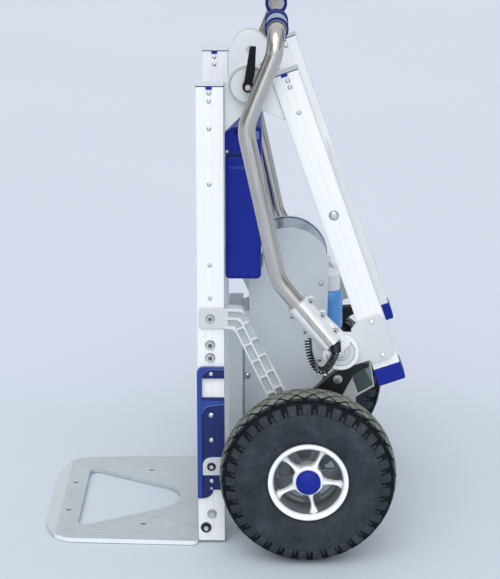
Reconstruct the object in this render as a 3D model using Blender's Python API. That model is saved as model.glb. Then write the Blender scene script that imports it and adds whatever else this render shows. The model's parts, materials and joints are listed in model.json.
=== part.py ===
"""Folding, powered stair climbing trolley, standing upright in its folded state.

Units are metres. +Z is up, -X is the load side with the toe plate, +X is the operator's
side with the wheels, and the trolley is symmetric about the XZ plane apart from its motor,
control button and curly cord. "left" is -Y and "right" is +Y. The origin is on the floor.
"""
import math

import bmesh
import bpy
from mathutils import Vector

GAP = 0.0003                       # clearance between touching pieces
SIDES = (("left", -1), ("right", 1))

# Lower frame
RAIL_DEPTH = 0.040                 # along X
RAIL_WIDTH = 0.032                 # along Y
RAIL_OUTER = 0.165                 # outer face, from the middle plane
RAIL_INNER = RAIL_OUTER - RAIL_WIDTH
RAIL_X = -0.0145
RAIL_FRONT = RAIL_X - RAIL_DEPTH / 2
RAIL_REAR = RAIL_X + RAIL_DEPTH / 2
RAIL_FOOT = 0.003
RAIL_TOP = 0.696

# Toe plate
TOE_TIP_X = -0.2719
TOE_HALF_WIDTH = 0.178
TOE_THICK = 0.007
TOE_LEG_TOP = 0.064
TOE_TAPER = 0.011                  # each side, from the heel to the tip
TOE_CHEEK = 0.0035

# Wheels
AXLE = (0.1285, 0.130)             # X, Z of the axle
AXLE_R = 0.010
TYRE_R = 0.130
TYRE_HALF = 0.041
WHEEL_Y = 0.215
RIM_R = 0.059
WHEEL_BORE_R = 0.0103
WHEEL_STEPS = 32

# Fold hinge and upper frame, folded down behind the lower one
HINGE = (0.0403, 0.699)
HINGE_R = 0.028
UPPER_TILT = math.radians(19.37)
UPPER_TOP = (0.0911, 0.7150)       # centre of the upper rail's top end
UPPER_LENGTH = 0.486
END_CAP = 0.027

# Handles
PIVOT = (0.1755, 0.307)
PIVOT_R = 0.0285
HANDLE_Y = 0.195
TUBE_R = 0.011
SLEEVE_R = 0.0168
SLEEVE_TOP = (0.1111, 0.3867)
SLEEVE_END = (0.1608, 0.3261)
GRIP_R = 0.0167
GRIP_CENTRE = (0.0805, 0.778)

# Drive unit
HOUSING_HALF = 0.038               # outer face of the side plates
HOUSING_REAR = 0.1610
HOUSING_FRONT = 0.0400
SHEET = 0.004
GEAR_TEETH = 24
PINION_TEETH = 8
GEAR_MODULE = 0.0045
GEAR_CASE_R = 0.064
CLIMB_SHAFT_R = 0.015
CLIMB_REACH = (-0.079, -0.092)     # from the axle to the climbing roller's pin
CLIMB_ROLLER_R = 0.034

# Battery
BATTERY_FRONT = RAIL_REAR + 0.0005
BATTERY_REAR = 0.0590
BATTERY_HALF = 0.120
BATTERY_FLOOR = 0.400
BATTERY_SEAM = 0.5885
BATTERY_TOP = 0.6290
BATTERY_WALL = 0.003

COLOURS = {
    "rail_white": ((0.90, 0.91, 0.93), 0.35, 0.3),
    "plate_white": ((0.88, 0.89, 0.91), 0.40, 0.2),
    "toe_aluminium": ((0.62, 0.66, 0.69), 0.35, 0.9),
    "blue_plastic": ((0.02, 0.03, 0.32), 0.38, 0.0),
    "housing_grey": ((0.42, 0.49, 0.52), 0.45, 0.1),
    "motor_blue": ((0.05, 0.22, 0.62), 0.30, 0.0),
    "steel": ((0.55, 0.53, 0.50), 0.25, 1.0),
    "cast_grey": ((0.70, 0.73, 0.75), 0.50, 0.2),
    "zinc": ((0.60, 0.61, 0.62), 0.30, 1.0),
    "black_plastic": ((0.02, 0.02, 0.03), 0.45, 0.0),
    "tyre_rubber": ((0.06, 0.07, 0.075), 0.85, 0.0),
    "rim_white": ((0.82, 0.84, 0.86), 0.35, 0.1),
    "grip_grey": ((0.38, 0.42, 0.56), 0.60, 0.0),
    "roller_cream": ((0.80, 0.76, 0.66), 0.55, 0.0),
    "dark_metal": ((0.10, 0.11, 0.12), 0.50, 0.6),
}


def material(name):
    """The Principled material of one finish, made once."""
    found = bpy.data.materials.get(name)
    if found:
        return found
    colour, roughness, metallic = COLOURS[name]
    made = bpy.data.materials.new(name)
    made.use_nodes = True
    shader = made.node_tree.nodes["Principled BSDF"]
    shader.inputs["Base Color"].default_value = (*colour, 1.0)
    shader.inputs["Roughness"].default_value = roughness
    shader.inputs["Metallic"].default_value = metallic
    return made


def joint_empty(name, x, z, parent=None):
    """An empty on a joint's axis, which the moving pieces are parented to."""
    empty = bpy.data.objects.new(name, None)
    bpy.context.scene.collection.objects.link(empty)
    empty["place"] = (x, 0.0, z)
    attach(empty, (x, 0.0, z), parent)
    return empty


def attach(obj, place, parent):
    """Put an object at a world place, under a parent whose own place is known."""
    base = Vector(parent["place"]) if parent else Vector((0, 0, 0))
    obj.parent = parent
    obj.location = Vector(place) - base


def add(name, bm, finish, place=(0, 0, 0), parent=None, smooth=None):
    """Make a named object from a bmesh, with its faces turned outward."""
    bmesh.ops.recalc_face_normals(bm, faces=bm.faces)
    mesh = bpy.data.meshes.new(name)
    bm.to_mesh(mesh)
    bm.free()
    if smooth:
        mesh.shade_smooth()
        mesh.set_sharp_from_angle(angle=math.radians(smooth))
    if finish:
        mesh.materials.append(material(finish))
    obj = bpy.data.objects.new(name, mesh)
    bpy.context.scene.collection.objects.link(obj)
    attach(obj, place, parent)
    return obj


def bevel(obj, width, segments=1):
    mod = obj.modifiers.new("edges", "BEVEL")
    mod.width = width
    mod.segments = segments
    mod.limit_method = "ANGLE"
    mod.angle_limit = math.radians(40)
    return obj


def boolean(obj, tool, operation):
    """Cut or join with a helper object, which stays out of the build."""
    tool.hide_render = True
    tool.display_type = "WIRE"
    mod = obj.modifiers.new(operation.lower(), "BOOLEAN")
    mod.operation = operation
    mod.solver = "EXACT"
    mod.object = tool
    return obj


def cut(obj, tool):
    return boolean(obj, tool, "DIFFERENCE")


def join(obj, tool):
    return boolean(obj, tool, "UNION")


def block(name, low, high, finish=None, parent=None, edge=0.0):
    """A box between two world corners, with its origin at its centre."""
    low, high = Vector(low), Vector(high)
    bm = bmesh.new()
    bmesh.ops.create_cube(bm, size=1.0)
    bmesh.ops.scale(bm, vec=high - low, verts=bm.verts)
    obj = add(name, bm, finish, (low + high) / 2, parent)
    return bevel(obj, edge) if edge else obj


def rounded(corners, steps=3):
    """An outline whose corners (x, z, radius) are rounded by arcs."""
    points = []
    for index, (x, z, radius) in enumerate(corners):
        corner = Vector((x, z))
        if not radius:
            points.append(corner)
            continue
        before = (Vector(corners[index - 1][:2]) - corner).normalized()
        after = (Vector(corners[(index + 1) % len(corners)][:2]) - corner).normalized()
        half = before.angle(after) / 2
        centre = corner + (before + after).normalized() * (radius / math.sin(half))
        start = corner + before * (radius / math.tan(half)) - centre
        end = corner + after * (radius / math.tan(half)) - centre
        turn = start.angle_signed(end)
        for step in range(steps + 1):
            angle = -turn * step / steps
            points.append(centre + Vector((
                start.x * math.cos(angle) - start.y * math.sin(angle),
                start.x * math.sin(angle) + start.y * math.cos(angle))))
    return [(p.x, p.y) for p in points]


def arc(centre, radius, start_deg, end_deg, steps=10):
    """Points of an arc in the XZ plane."""
    points = []
    for step in range(steps + 1):
        angle = math.radians(start_deg + (end_deg - start_deg) * step / steps)
        points.append((centre[0] + radius * math.cos(angle),
                       centre[1] + radius * math.sin(angle)))
    return points


def plate(name, outline, y_range, finish=None, parent=None, origin=None, smooth=30):
    """An XZ outline extruded along Y. Its origin is at the given X, Z."""
    ox, oz = origin or outline[0]
    y_low, y_high = min(y_range), max(y_range)
    bm = bmesh.new()
    verts = [bm.verts.new((x - ox, y_low, z - oz)) for x, z in outline]
    face = bm.faces.new(verts)
    grown = bmesh.ops.extrude_face_region(bm, geom=[face])["geom"]
    moved = [item for item in grown if isinstance(item, bmesh.types.BMVert)]
    bmesh.ops.translate(bm, vec=(0, y_high - y_low, 0), verts=moved)
    return add(name, bm, finish, (ox, 0, oz), parent, smooth)


def turned(name, profile, centre, finish=None, parent=None, steps=24, smooth=35):
    """A closed (radius, y) profile spun about the Y line through centre."""
    bm = bmesh.new()
    verts = [bm.verts.new((radius, y, 0)) for radius, y in profile]
    edges = [bm.edges.new((a, b)) for a, b in zip(verts, verts[1:] + verts[:1])
             if a.co.x > 1e-6 or b.co.x > 1e-6]
    bmesh.ops.spin(bm, geom=verts + edges, cent=(0, 0, 0), axis=(0, 1, 0),
                   angle=math.tau, steps=steps)
    bmesh.ops.remove_doubles(bm, verts=bm.verts, dist=1e-6)
    return add(name, bm, finish, (centre[0], 0, centre[1]), parent, smooth)


def rod(name, centre, radius, y_range, finish=None, parent=None, steps=24):
    y_low, y_high = min(y_range), max(y_range)
    profile = [(0, y_low), (radius, y_low), (radius, y_high), (0, y_high)]
    return turned(name, profile, centre, finish, parent, steps)


def mirror_y(values, side):
    """Y values of the right side, turned to the given side."""
    return [value * side for value in values]


def smooth_path(points, spacing):
    """Evenly spaced points on a Catmull-Rom curve through hand-placed points."""
    points = [Vector(p) for p in points]
    padded = [points[0] * 2 - points[1]] + points + [points[-1] * 2 - points[-2]]
    path = []
    for a, b, c, d in zip(padded, padded[1:], padded[2:], padded[3:]):
        count = max(1, round((c - b).length / spacing))
        for step in range(count):
            t = step / count
            path.append(0.5 * (2 * b + (c - a) * t + (2 * a - 5 * b + 4 * c - d) * t ** 2
                               + (3 * b - a - 3 * c + d) * t ** 3))
    return path + [points[-1]]


def bent_path(corners, steps=7):
    """A path of straight runs joined by arcs; each corner is (x, y, z, bend radius)."""
    places = [Vector(corner[:3]) for corner in corners]
    path = [places[0]]
    for index in range(1, len(corners) - 1):
        corner, radius = places[index], corners[index][3]
        before = (places[index - 1] - corner).normalized()
        after = (places[index + 1] - corner).normalized()
        half = before.angle(after) / 2
        centre = corner + (before + after).normalized() * (radius / math.sin(half))
        start = corner + before * (radius / math.tan(half)) - centre
        end = corner + after * (radius / math.tan(half)) - centre
        for step in range(steps + 1):
            path.append(centre + start.normalized().slerp(end.normalized(), step / steps)
                        * radius)
    return path + [places[-1]]


def pipe(name, path, radius, finish, place, parent=None, resolution=3):
    """A round tube along a path, as a curve with filled caps."""
    data = bpy.data.curves.new(name, "CURVE")
    data.dimensions = "3D"
    data.bevel_depth = radius
    data.bevel_resolution = resolution
    data.use_fill_caps = True
    spline = data.splines.new("POLY")
    spline.points.add(len(path) - 1)
    for point, target in zip(path, spline.points):
        target.co = (*(Vector(point) - Vector(place)), 1.0)
    data.materials.append(material(finish))
    obj = bpy.data.objects.new(name, data)
    bpy.context.scene.collection.objects.link(obj)
    attach(obj, place, parent)
    return obj


# ---------------------------------------------------------------- lower frame

def lower_rails():
    for name, side in SIDES:
        low, high = sorted((RAIL_INNER * side, RAIL_OUTER * side))
        block(f"lower_rail_{name}", (RAIL_FRONT, low, RAIL_FOOT),
              (RAIL_REAR, high, RAIL_TOP), "rail_white", edge=0.0015)


def cross_bar():
    reach, z = RAIL_INNER - GAP, 0.372
    block("cross_bar", (RAIL_X - 0.012, -reach, z - 0.009),
          (RAIL_X + 0.012, reach, z + 0.009), "rail_white", edge=0.001)


def toe_plate():
    """A tapering blade with a round-tipped triangular window. A low wall and two cheeks
    behind it stand between the lower rails, where bolts through the rails hold them."""
    heel = RAIL_FRONT - GAP
    half = TOE_HALF_WIDTH
    tip_half = half - TOE_TAPER
    bm = bmesh.new()
    outline = rounded([(heel, -half, 0.009), (-0.250, -tip_half, 0.020),
                       (TOE_TIP_X, -0.110, 0.030), (TOE_TIP_X, 0.110, 0.030),
                       (-0.250, tip_half, 0.020), (heel, half, 0.009)])
    flat_prism(bm, outline, 0.0, TOE_THICK)
    blade = add("toe_plate", bm, "toe_aluminium", smooth=30)
    inside = RAIL_INNER - GAP
    wall_front = RAIL_FRONT + 0.0002
    join(blade, block("toe_tongue", (heel - 0.004, -inside, 0.0),
                      (wall_front + 0.004, inside, TOE_THICK)))
    join(blade, block("toe_wall", (wall_front, -inside, 0.0),
                      (wall_front + TOE_THICK, inside, TOE_LEG_TOP)))
    for name, side in SIDES:
        y = sorted(mirror_y((inside - TOE_CHEEK, inside), side))
        join(blade, block(f"toe_cheek_{name}", (wall_front + 0.002, y[0], 0.0),
                          (-0.0140, y[1], TOE_LEG_TOP - 0.002)))
    bm = bmesh.new()
    window = rounded([(-0.2220, -0.1243, 0.012), (-0.0120, 0.0, 0.059),
                      (-0.2220, 0.1243, 0.012)], 6)
    flat_prism(bm, window, -0.01, TOE_THICK + 0.01)
    cut(blade, add("toe_window_tool", bm, None))
    bevel(blade, 0.0008)


def flat_prism(bm, outline, z_low, z_high):
    """An XY outline extruded upward, added to a bmesh."""
    face = bm.faces.new([bm.verts.new((x, y, z_low)) for x, y in outline])
    grown = bmesh.ops.extrude_face_region(bm, geom=[face])["geom"]
    moved = [item for item in grown if isinstance(item, bmesh.types.BMVert)]
    bmesh.ops.translate(bm, vec=(0, 0, z_high - z_low), verts=moved)


def slide_guards():
    """C-shaped plastic guards on the outer faces of the lower rails."""
    outline = rounded([(-0.0352, 0.2800, 0.009), (0.0050, 0.2800, 0.001),
                       (0.0050, 0.2630, 0.001), (-0.0280, 0.2630, 0.002),
                       (-0.0280, 0.2320, 0.002), (0.0050, 0.2320, 0.001),
                       (0.0050, 0.0950, 0.004), (-0.0100, 0.0860, 0.010),
                       (-0.0240, 0.0700, 0.004), (-0.0352, 0.0780, 0.006)])
    for name, side in SIDES:
        y = mirror_y((RAIL_OUTER + GAP, RAIL_OUTER + 0.0068), side)
        bevel(plate(f"slide_guard_{name}", outline, y, "blue_plastic"), 0.0008)


def axle_arms():
    """Cast arms from the lower rails down to the axle."""
    lug = rounded([(-0.0312, 0.3707, 0.004), (0.0200, 0.3707, 0),
                   (0.0200, 0.3397, 0), (-0.0312, 0.3397, 0.004)])
    boss_r = 0.0225
    web = rounded([(RAIL_REAR + GAP, 0.3707, 0), (0.0316, 0.3707, 0.010),
                   (0.1495, 0.1390, 0), (0.1100, 0.1220, 0), (0.0686, 0.2359, 0),
                   (0.0200, 0.3397, 0.014), (RAIL_REAR + GAP, 0.3397, 0)])
    for name, side in SIDES:
        plane = (RAIL_OUTER + GAP, RAIL_OUTER + 0.0050)
        thick = (RAIL_OUTER - 0.014, RAIL_OUTER + 0.0062)
        arm = plate(f"axle_arm_{name}", web, mirror_y(thick, side), "cast_grey")
        join(arm, plate(f"arm_lug_tool_{name}", lug, mirror_y(plane, side)))
        join(arm, rod(f"arm_boss_tool_{name}", AXLE, boss_r, mirror_y(thick, side)))
        bore_y = mirror_y((RAIL_OUTER - 0.03, RAIL_OUTER + 0.03), side)
        cut(arm, rod(f"arm_bore_tool_{name}", AXLE, AXLE_R + GAP, bore_y))


def axle():
    """Fixed axle that both wheels and the climbing shaft turn on."""
    half = 0.2470
    profile = [(0, -half), (AXLE_R, -half), (AXLE_R, half), (0, half)]
    turned("wheel_axle", profile, AXLE, "zinc")


# ---------------------------------------------------------------- drive unit

def housing():
    """Two grey side plates with round tops, and the wrap cover between them."""
    crown = ((HOUSING_FRONT + HOUSING_REAR) / 2, 0.3970)
    crown_r = (HOUSING_REAR - HOUSING_FRONT) / 2
    clear_x = BATTERY_REAR + 0.0015
    shelf_z = BATTERY_FLOOR - 0.0030
    last = math.degrees(math.acos((clear_x - crown[0]) / crown_r))
    outline = arc(crown, crown_r, 0, last, 16) + rounded(
        [(clear_x, shelf_z, 0), (HOUSING_FRONT, shelf_z, 0.003),
         (HOUSING_FRONT, 0.3263, 0), (0.0330, 0.3263, 0.004), (0.0330, 0.0500, 0.010),
         (0.0580, 0.0500, 0), (0.0580, 0.1700, 0.004), (0.1360, 0.1700, 0.004),
         (HOUSING_REAR, 0.2380, 0.010)])
    for name, side in SIDES:
        y = mirror_y((HOUSING_HALF - SHEET, HOUSING_HALF), side)
        plate(f"housing_side_{name}", outline, y, "housing_grey", smooth=20)
    inner = HOUSING_HALF - SHEET - GAP
    wall, inset = 0.003, 0.0015
    outer_band = arc(crown, crown_r - inset, 0, last, 16)
    inner_band = arc(crown, crown_r - inset - wall, last - 3, 0, 16)
    rear, front = HOUSING_REAR - inset, inner_band[0][0]
    band = (outer_band + [(outer_band[-1][0], shelf_z + 0.006), (front, shelf_z + 0.006)]
            + inner_band + [(rear - wall, 0.2450), (rear, 0.2450)])
    plate("housing_wrap", band, (-inner, inner), "housing_grey", smooth=20)
    chassis = rounded([(RAIL_REAR + 0.0025, 0.3263, 0.002), (0.0310, 0.3263, 0.002),
                       (0.0310, 0.0480, 0.002), (RAIL_REAR + 0.0025, 0.0480, 0.002)])
    bevel(plate("chassis_box", chassis, (-0.060, 0.060), "housing_grey"), 0.001)


def gear_outline(teeth, first_deg):
    """Trapezoid teeth on a pitch circle, with a tooth centred on the first angle."""
    pitch_r = teeth * GEAR_MODULE / 2
    root_r = pitch_r - 1.25 * GEAR_MODULE
    tip_r = pitch_r + 0.80 * GEAR_MODULE
    pitch_deg = 360 / teeth
    points = []
    for tooth in range(teeth):
        middle = first_deg + tooth * pitch_deg
        for radius, share in ((root_r, -0.30), (tip_r, -0.11), (tip_r, 0.11), (root_r, 0.30)):
            angle = math.radians(middle + share * pitch_deg)
            points.append((radius * math.cos(angle), radius * math.sin(angle)))
    return points


def gears(climb):
    """The climbing gear on its shaft, and the motor's pinion above it, in mesh."""
    pinion_z = AXLE[1] + (GEAR_TEETH + PINION_TEETH) * GEAR_MODULE / 2 + 0.0004
    gap_first = 90 + 180 / GEAR_TEETH
    outline = [(AXLE[0] + x, AXLE[1] + z) for x, z in gear_outline(GEAR_TEETH, gap_first)]
    gear = plate("climb_gear", outline, (-0.008, 0.008), "dark_metal", climb, AXLE, None)
    cut(gear, rod("gear_bore_tool", AXLE, CLIMB_SHAFT_R + GAP, (-0.02, 0.02)))
    spin = joint_empty("pinion_axis", AXLE[0], pinion_z)
    outline = [(AXLE[0] + x, pinion_z + z) for x, z in gear_outline(PINION_TEETH, -90)]
    pinion = plate("motor_pinion", outline, (-0.009, 0.009), "dark_metal", spin,
                   (AXLE[0], pinion_z), None)
    join(pinion, rod("pinion_stub_tool", (AXLE[0], pinion_z), 0.006, (-0.026, 0.026),
                     parent=spin, steps=16))


def gear_case():
    """Round gear case, open towards +Y, with a bore for the climbing shaft."""
    wall, flank = 0.003, HOUSING_HALF - SHEET - GAP
    bore = CLIMB_SHAFT_R + 0.0015
    profile = [(bore, -flank), (GEAR_CASE_R, -flank), (GEAR_CASE_R, flank),
               (GEAR_CASE_R - wall, flank), (GEAR_CASE_R - wall, -flank + wall),
               (bore, -flank + wall)]
    case = turned("gear_case", profile, AXLE, "dark_metal", steps=32)
    window = block("case_window_tool", (AXLE[0] - 0.028, -0.030, AXLE[1] + 0.040),
                   (AXLE[0] + 0.028, 0.040, AXLE[1] + 0.100))
    cut(case, window)


def motor():
    """Vertical motor beside the housing, with its collar and the foot that carries it."""
    x, y, radius = 0.1645, 0.0655, 0.0225
    bm = bmesh.new()
    profile = [(0, 0.2460), (0.010, 0.2460), (0.010, 0.2640), (radius - 0.003, 0.2660),
               (radius, 0.2890), (radius, 0.3240), (radius - 0.004, 0.3310),
               (radius - 0.004, 0.3320), (0.0180, 0.3320), (0.0180, 0.3570),
               (0.0150, 0.3620), (0, 0.3620)]
    verts = [bm.verts.new((r, 0, z)) for r, z in profile]
    edges = [bm.edges.new(pair) for pair in zip(verts, verts[1:])]
    bmesh.ops.spin(bm, geom=verts + edges, cent=(0, 0, 0), axis=(0, 0, 1),
                   angle=math.tau, steps=24)
    bmesh.ops.remove_doubles(bm, verts=bm.verts, dist=1e-6)
    drive = add("drive_motor", bm, "motor_blue", (x, y, 0), smooth=35)
    join(drive, block("motor_foot_tool", (0.110, HOUSING_HALF + GAP, 0.2300),
                      (0.190, HOUSING_HALF + 0.0400, 0.2475)))


def rest_struts():
    """Dark struts up from the axle, and the rubber bumper behind the housing."""
    outline = rounded([(0.1330, 0.2330, 0.002), (0.1560, 0.2630, 0.006), (0.1800, 0.2845, 0.006),
                       (0.2195, 0.2795, 0.002), (0.2180, 0.2700, 0.002), (0.1957, 0.2600, 0.006),
                       (0.1787, 0.2280, 0.004), (0.1480, 0.1200, 0.010), (0.1120, 0.1200, 0.010)])
    for name, side in SIDES:
        strut = plate(f"rest_strut_{name}", outline, mirror_y((0.1340, 0.1480), side),
                      "black_plastic")
        bore_y = mirror_y((RAIL_OUTER - 0.04, RAIL_OUTER), side)
        cut(strut, rod(f"strut_bore_tool_{name}", AXLE, AXLE_R + GAP, bore_y))
    half = 0.084
    mount = [(HOUSING_REAR + 0.0010, 0.2285), (HOUSING_REAR + 0.0010, 0.2070), (0.2040, 0.2050),
             (0.2087, 0.2085), (0.2309, 0.2217), (0.2293, 0.2242), (0.2072, 0.2110),
             (0.2062, 0.2111), (0.2003, 0.2285)]
    plate("bumper_mount", mount, (-half, half), "cast_grey", smooth=None)
    block_outline = rounded([(0.2070, 0.2113, 0.002), (0.2292, 0.2245, 0.002),
                             (0.2156, 0.2494, 0.002), (0.1984, 0.2367, 0.002)])
    plate("rubber_bumper", block_outline, (-half, half), "black_plastic")


def climb_assembly(climb):
    """Hollow shaft round the axle with an arm and a roller at each end."""
    pin = (AXLE[0] + CLIMB_REACH[0], AXLE[1] + CLIMB_REACH[1])
    half = 0.1180
    profile = [(AXLE_R + 0.0005, -half), (CLIMB_SHAFT_R, -half), (CLIMB_SHAFT_R, half),
               (AXLE_R + 0.0005, half)]
    turned("climb_shaft", profile, AXLE, "dark_metal", climb)
    tilt = math.degrees(math.atan2(CLIMB_REACH[1], CLIMB_REACH[0]))
    outline = (arc(AXLE, 0.0260, tilt + 95, tilt + 265, 12)
               + arc(pin, 0.0150, tilt - 85, tilt + 85, 10))
    for name, side in SIDES:
        arm = plate(f"climb_arm_{name}", outline, mirror_y((0.0920, 0.1020), side),
                    "cast_grey", climb, AXLE)
        cut(arm, rod(f"climb_bore_tool_{name}", AXLE, CLIMB_SHAFT_R + GAP,
                     mirror_y((0.08, 0.12), side), parent=climb))
        join(arm, rod(f"climb_pin_tool_{name}", pin, 0.0060,
                      mirror_y((0.0950, 0.1300), side), parent=climb, steps=16))
        spin = joint_empty(f"climb_roller_axis_{name}", *pin, climb)
        y = sorted(mirror_y((0.1040, 0.1290), side))
        edge = 0.003
        profile = [(0.0065, y[0]), (CLIMB_ROLLER_R - edge, y[0]), (CLIMB_ROLLER_R, y[0] + edge),
                   (CLIMB_ROLLER_R, y[1] - edge), (CLIMB_ROLLER_R - edge, y[1]), (0.0065, y[1])]
        turned(f"climb_roller_{name}", profile, pin, "roller_cream", spin, 28)


# ---------------------------------------------------------------- battery

def battery():
    """Open-topped case, lid, battery pack inside, and a squeeze latch on each side."""
    case = block("battery_case", (BATTERY_FRONT, -BATTERY_HALF, BATTERY_FLOOR),
                 (BATTERY_REAR, BATTERY_HALF, BATTERY_SEAM), "blue_plastic")
    hollow = block("case_hollow_tool",
                   (BATTERY_FRONT + BATTERY_WALL, -BATTERY_HALF + BATTERY_WALL,
                    BATTERY_FLOOR + BATTERY_WALL),
                   (BATTERY_REAR - BATTERY_WALL, BATTERY_HALF - BATTERY_WALL,
                    BATTERY_SEAM + 0.01))
    bevel(case, 0.0045, 2)
    cut(case, hollow)
    block("battery_pack", (BATTERY_FRONT + 0.004, -BATTERY_HALF + 0.005, BATTERY_FLOOR + 0.0035),
          (BATTERY_REAR - 0.004, BATTERY_HALF - 0.005, BATTERY_SEAM - 0.004),
          "black_plastic", edge=0.002)
    lid_low = BATTERY_SEAM + 0.0008
    outline = rounded([(BATTERY_FRONT, lid_low, 0), (BATTERY_REAR, lid_low, 0.002),
                       (BATTERY_REAR, BATTERY_TOP, 0.004), (0.0160, BATTERY_TOP, 0.002),
                       (BATTERY_FRONT, BATTERY_TOP - 0.008, 0.002)])
    lid = plate("battery_lid", outline, (-BATTERY_HALF, BATTERY_HALF), "blue_plastic")
    bevel(lid, 0.0015)
    for name, side in SIDES:
        y = mirror_y((BATTERY_HALF - 0.007, BATTERY_HALF + 0.01), side)
        low, high = sorted(y)
        cut(lid, block(f"latch_pocket_tool_{name}", (0.0480, low, 0.6110),
                       (0.0565, high, 0.6240)))
        low, high = sorted(mirror_y((BATTERY_HALF - 0.0030, BATTERY_HALF + 0.0020), side))
        block(f"battery_latch_{name}", (0.0484, low, 0.6114), (0.0561, high, 0.6236),
              "plate_white", edge=0.0008)


# ---------------------------------------------------------------- fold hinge

def hinge_plates(fold):
    """Gusset plates of the fold hinge: one pair on each frame, in neighbouring layers."""
    lower_layer = (0.1360, 0.1480)
    upper_layer = (0.1485, 0.1605)
    lower = ([(RAIL_REAR + GAP, 0.6270)] + arc(HINGE, HINGE_R, -56, 150, 16)
             + [(RAIL_REAR + GAP, 0.6940)])
    along = Vector((math.sin(UPPER_TILT), -math.cos(UPPER_TILT)))
    across = Vector((-math.cos(UPPER_TILT), -math.sin(UPPER_TILT)))
    face = Vector(UPPER_TOP) + across * (RAIL_DEPTH / 2 + GAP)
    near_end = face + along * 0.004
    far_end = face + along * 0.064
    upper = ([tuple(near_end)] + arc(HINGE, HINGE_R, 50, 256, 16) + [tuple(far_end)])
    for name, side in SIDES:
        plate(f"hinge_plate_lower_{name}", lower, mirror_y(lower_layer, side), "plate_white")
        plate(f"hinge_plate_upper_{name}", upper, mirror_y(upper_layer, side), "plate_white",
              fold, HINGE)
        for part in (f"hinge_plate_lower_{name}", f"hinge_plate_upper_{name}"):
            tool = rod(f"{part}_bore_tool", HINGE, 0.0064, mirror_y((0.12, 0.18), side))
            cut(bpy.data.objects[part], tool)
        y = mirror_y((0.1340, 0.1608, 0.1700, 0.1880), side)
        profile = [(0, y[0]), (0.0060, y[0]), (0.0060, y[1]), (HINGE_R, y[1]),
                   (HINGE_R, y[2]), (0.0035, y[2]), (0.0035, y[3]), (0, y[3])]
        turned(f"hinge_disc_{name}", profile, HINGE, "cast_grey")


def clamp_levers():
    """Black clamp levers that lock the fold: the left one stands up beside its disc, and
    the right one hangs down behind the other."""
    for name, side in SIDES:
        axis = joint_empty(f"lever_axis_{name}", *HINGE)
        y = mirror_y((0.1703, 0.1835), side)
        lever = rod(f"clamp_lever_{name}", HINGE, 0.0078, y, "black_plastic", axis, 20)
        outline = rounded([(0.0350, 0.7000, 0), (0.0460, 0.7000, 0), (0.0500, 0.7220, 0),
                           (0.0516, 0.7560, 0.002), (0.0430, 0.7560, 0.002)])
        if side > 0:
            outline = [(2 * HINGE[0] - x, 2 * HINGE[1] - z) for x, z in outline]
        arm = plate(f"lever_arm_tool_{name}", outline, mirror_y((0.1745, 0.1825), side),
                    parent=axis, origin=HINGE)
        join(lever, arm)
        cut(lever, rod(f"lever_bore_tool_{name}", HINGE, 0.0040,
                       mirror_y((0.16, 0.2), side), parent=axis, steps=16))


# ---------------------------------------------------------------- upper frame

def along_rail(distance, offset=0.0):
    """X, Z of a point measured from the upper rail's top end, and across it."""
    x = UPPER_TOP[0] + distance * math.sin(UPPER_TILT) + offset * math.cos(UPPER_TILT)
    z = UPPER_TOP[1] - distance * math.cos(UPPER_TILT) + offset * math.sin(UPPER_TILT)
    return x, z


def rail_outline(start, end, half):
    return [along_rail(start, -half), along_rail(start, half),
            along_rail(end, half), along_rail(end, -half)]


def upper_frame(fold):
    half = RAIL_DEPTH / 2
    cap_start = UPPER_LENGTH - END_CAP
    for name, side in SIDES:
        y = mirror_y((RAIL_INNER, RAIL_OUTER), side)
        rail = plate(f"upper_rail_{name}", rail_outline(0, cap_start - GAP, half), y,
                     "rail_white", fold, HINGE, None)
        bevel(rail, 0.0015)
        y = mirror_y((RAIL_INNER - 0.0015, RAIL_OUTER + 0.0002), side)
        cap = plate(f"end_cap_{name}", rail_outline(cap_start, UPPER_LENGTH, half + 0.0015),
                    y, "blue_plastic", fold, HINGE, None)
        bevel(cap, 0.002)
        spine = rounded([(0.1893, 0.3382, 0.004), (0.1993, 0.3504, 0.006),
                         (0.2312, 0.3627, 0.006), (0.2401, 0.3550, 0.006),
                         (0.2551, 0.3078, 0.006), (0.2501, 0.2966, 0.006),
                         (0.2224, 0.2863, 0.008)])
        layer = (RAIL_OUTER + 0.0007, RAIL_OUTER + 0.0055)
        outline = spine + arc(PIVOT, PIVOT_R, -58, -285, 16)
        pivot = plate(f"pivot_plate_{name}", outline, mirror_y(layer, side), "plate_white",
                      fold, HINGE)
        cut(pivot, rod(f"pivot_bore_tool_{name}", PIVOT, 0.0064,
                       mirror_y((0.15, 0.18), side), parent=fold))
    reach = RAIL_INNER - GAP
    bar = plate("upper_cross_bar", rail_outline(0.166, 0.182, 0.014), (-reach, reach),
                "rail_white", fold, HINGE, None)
    bevel(bar, 0.001)


# ---------------------------------------------------------------- handles

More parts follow.
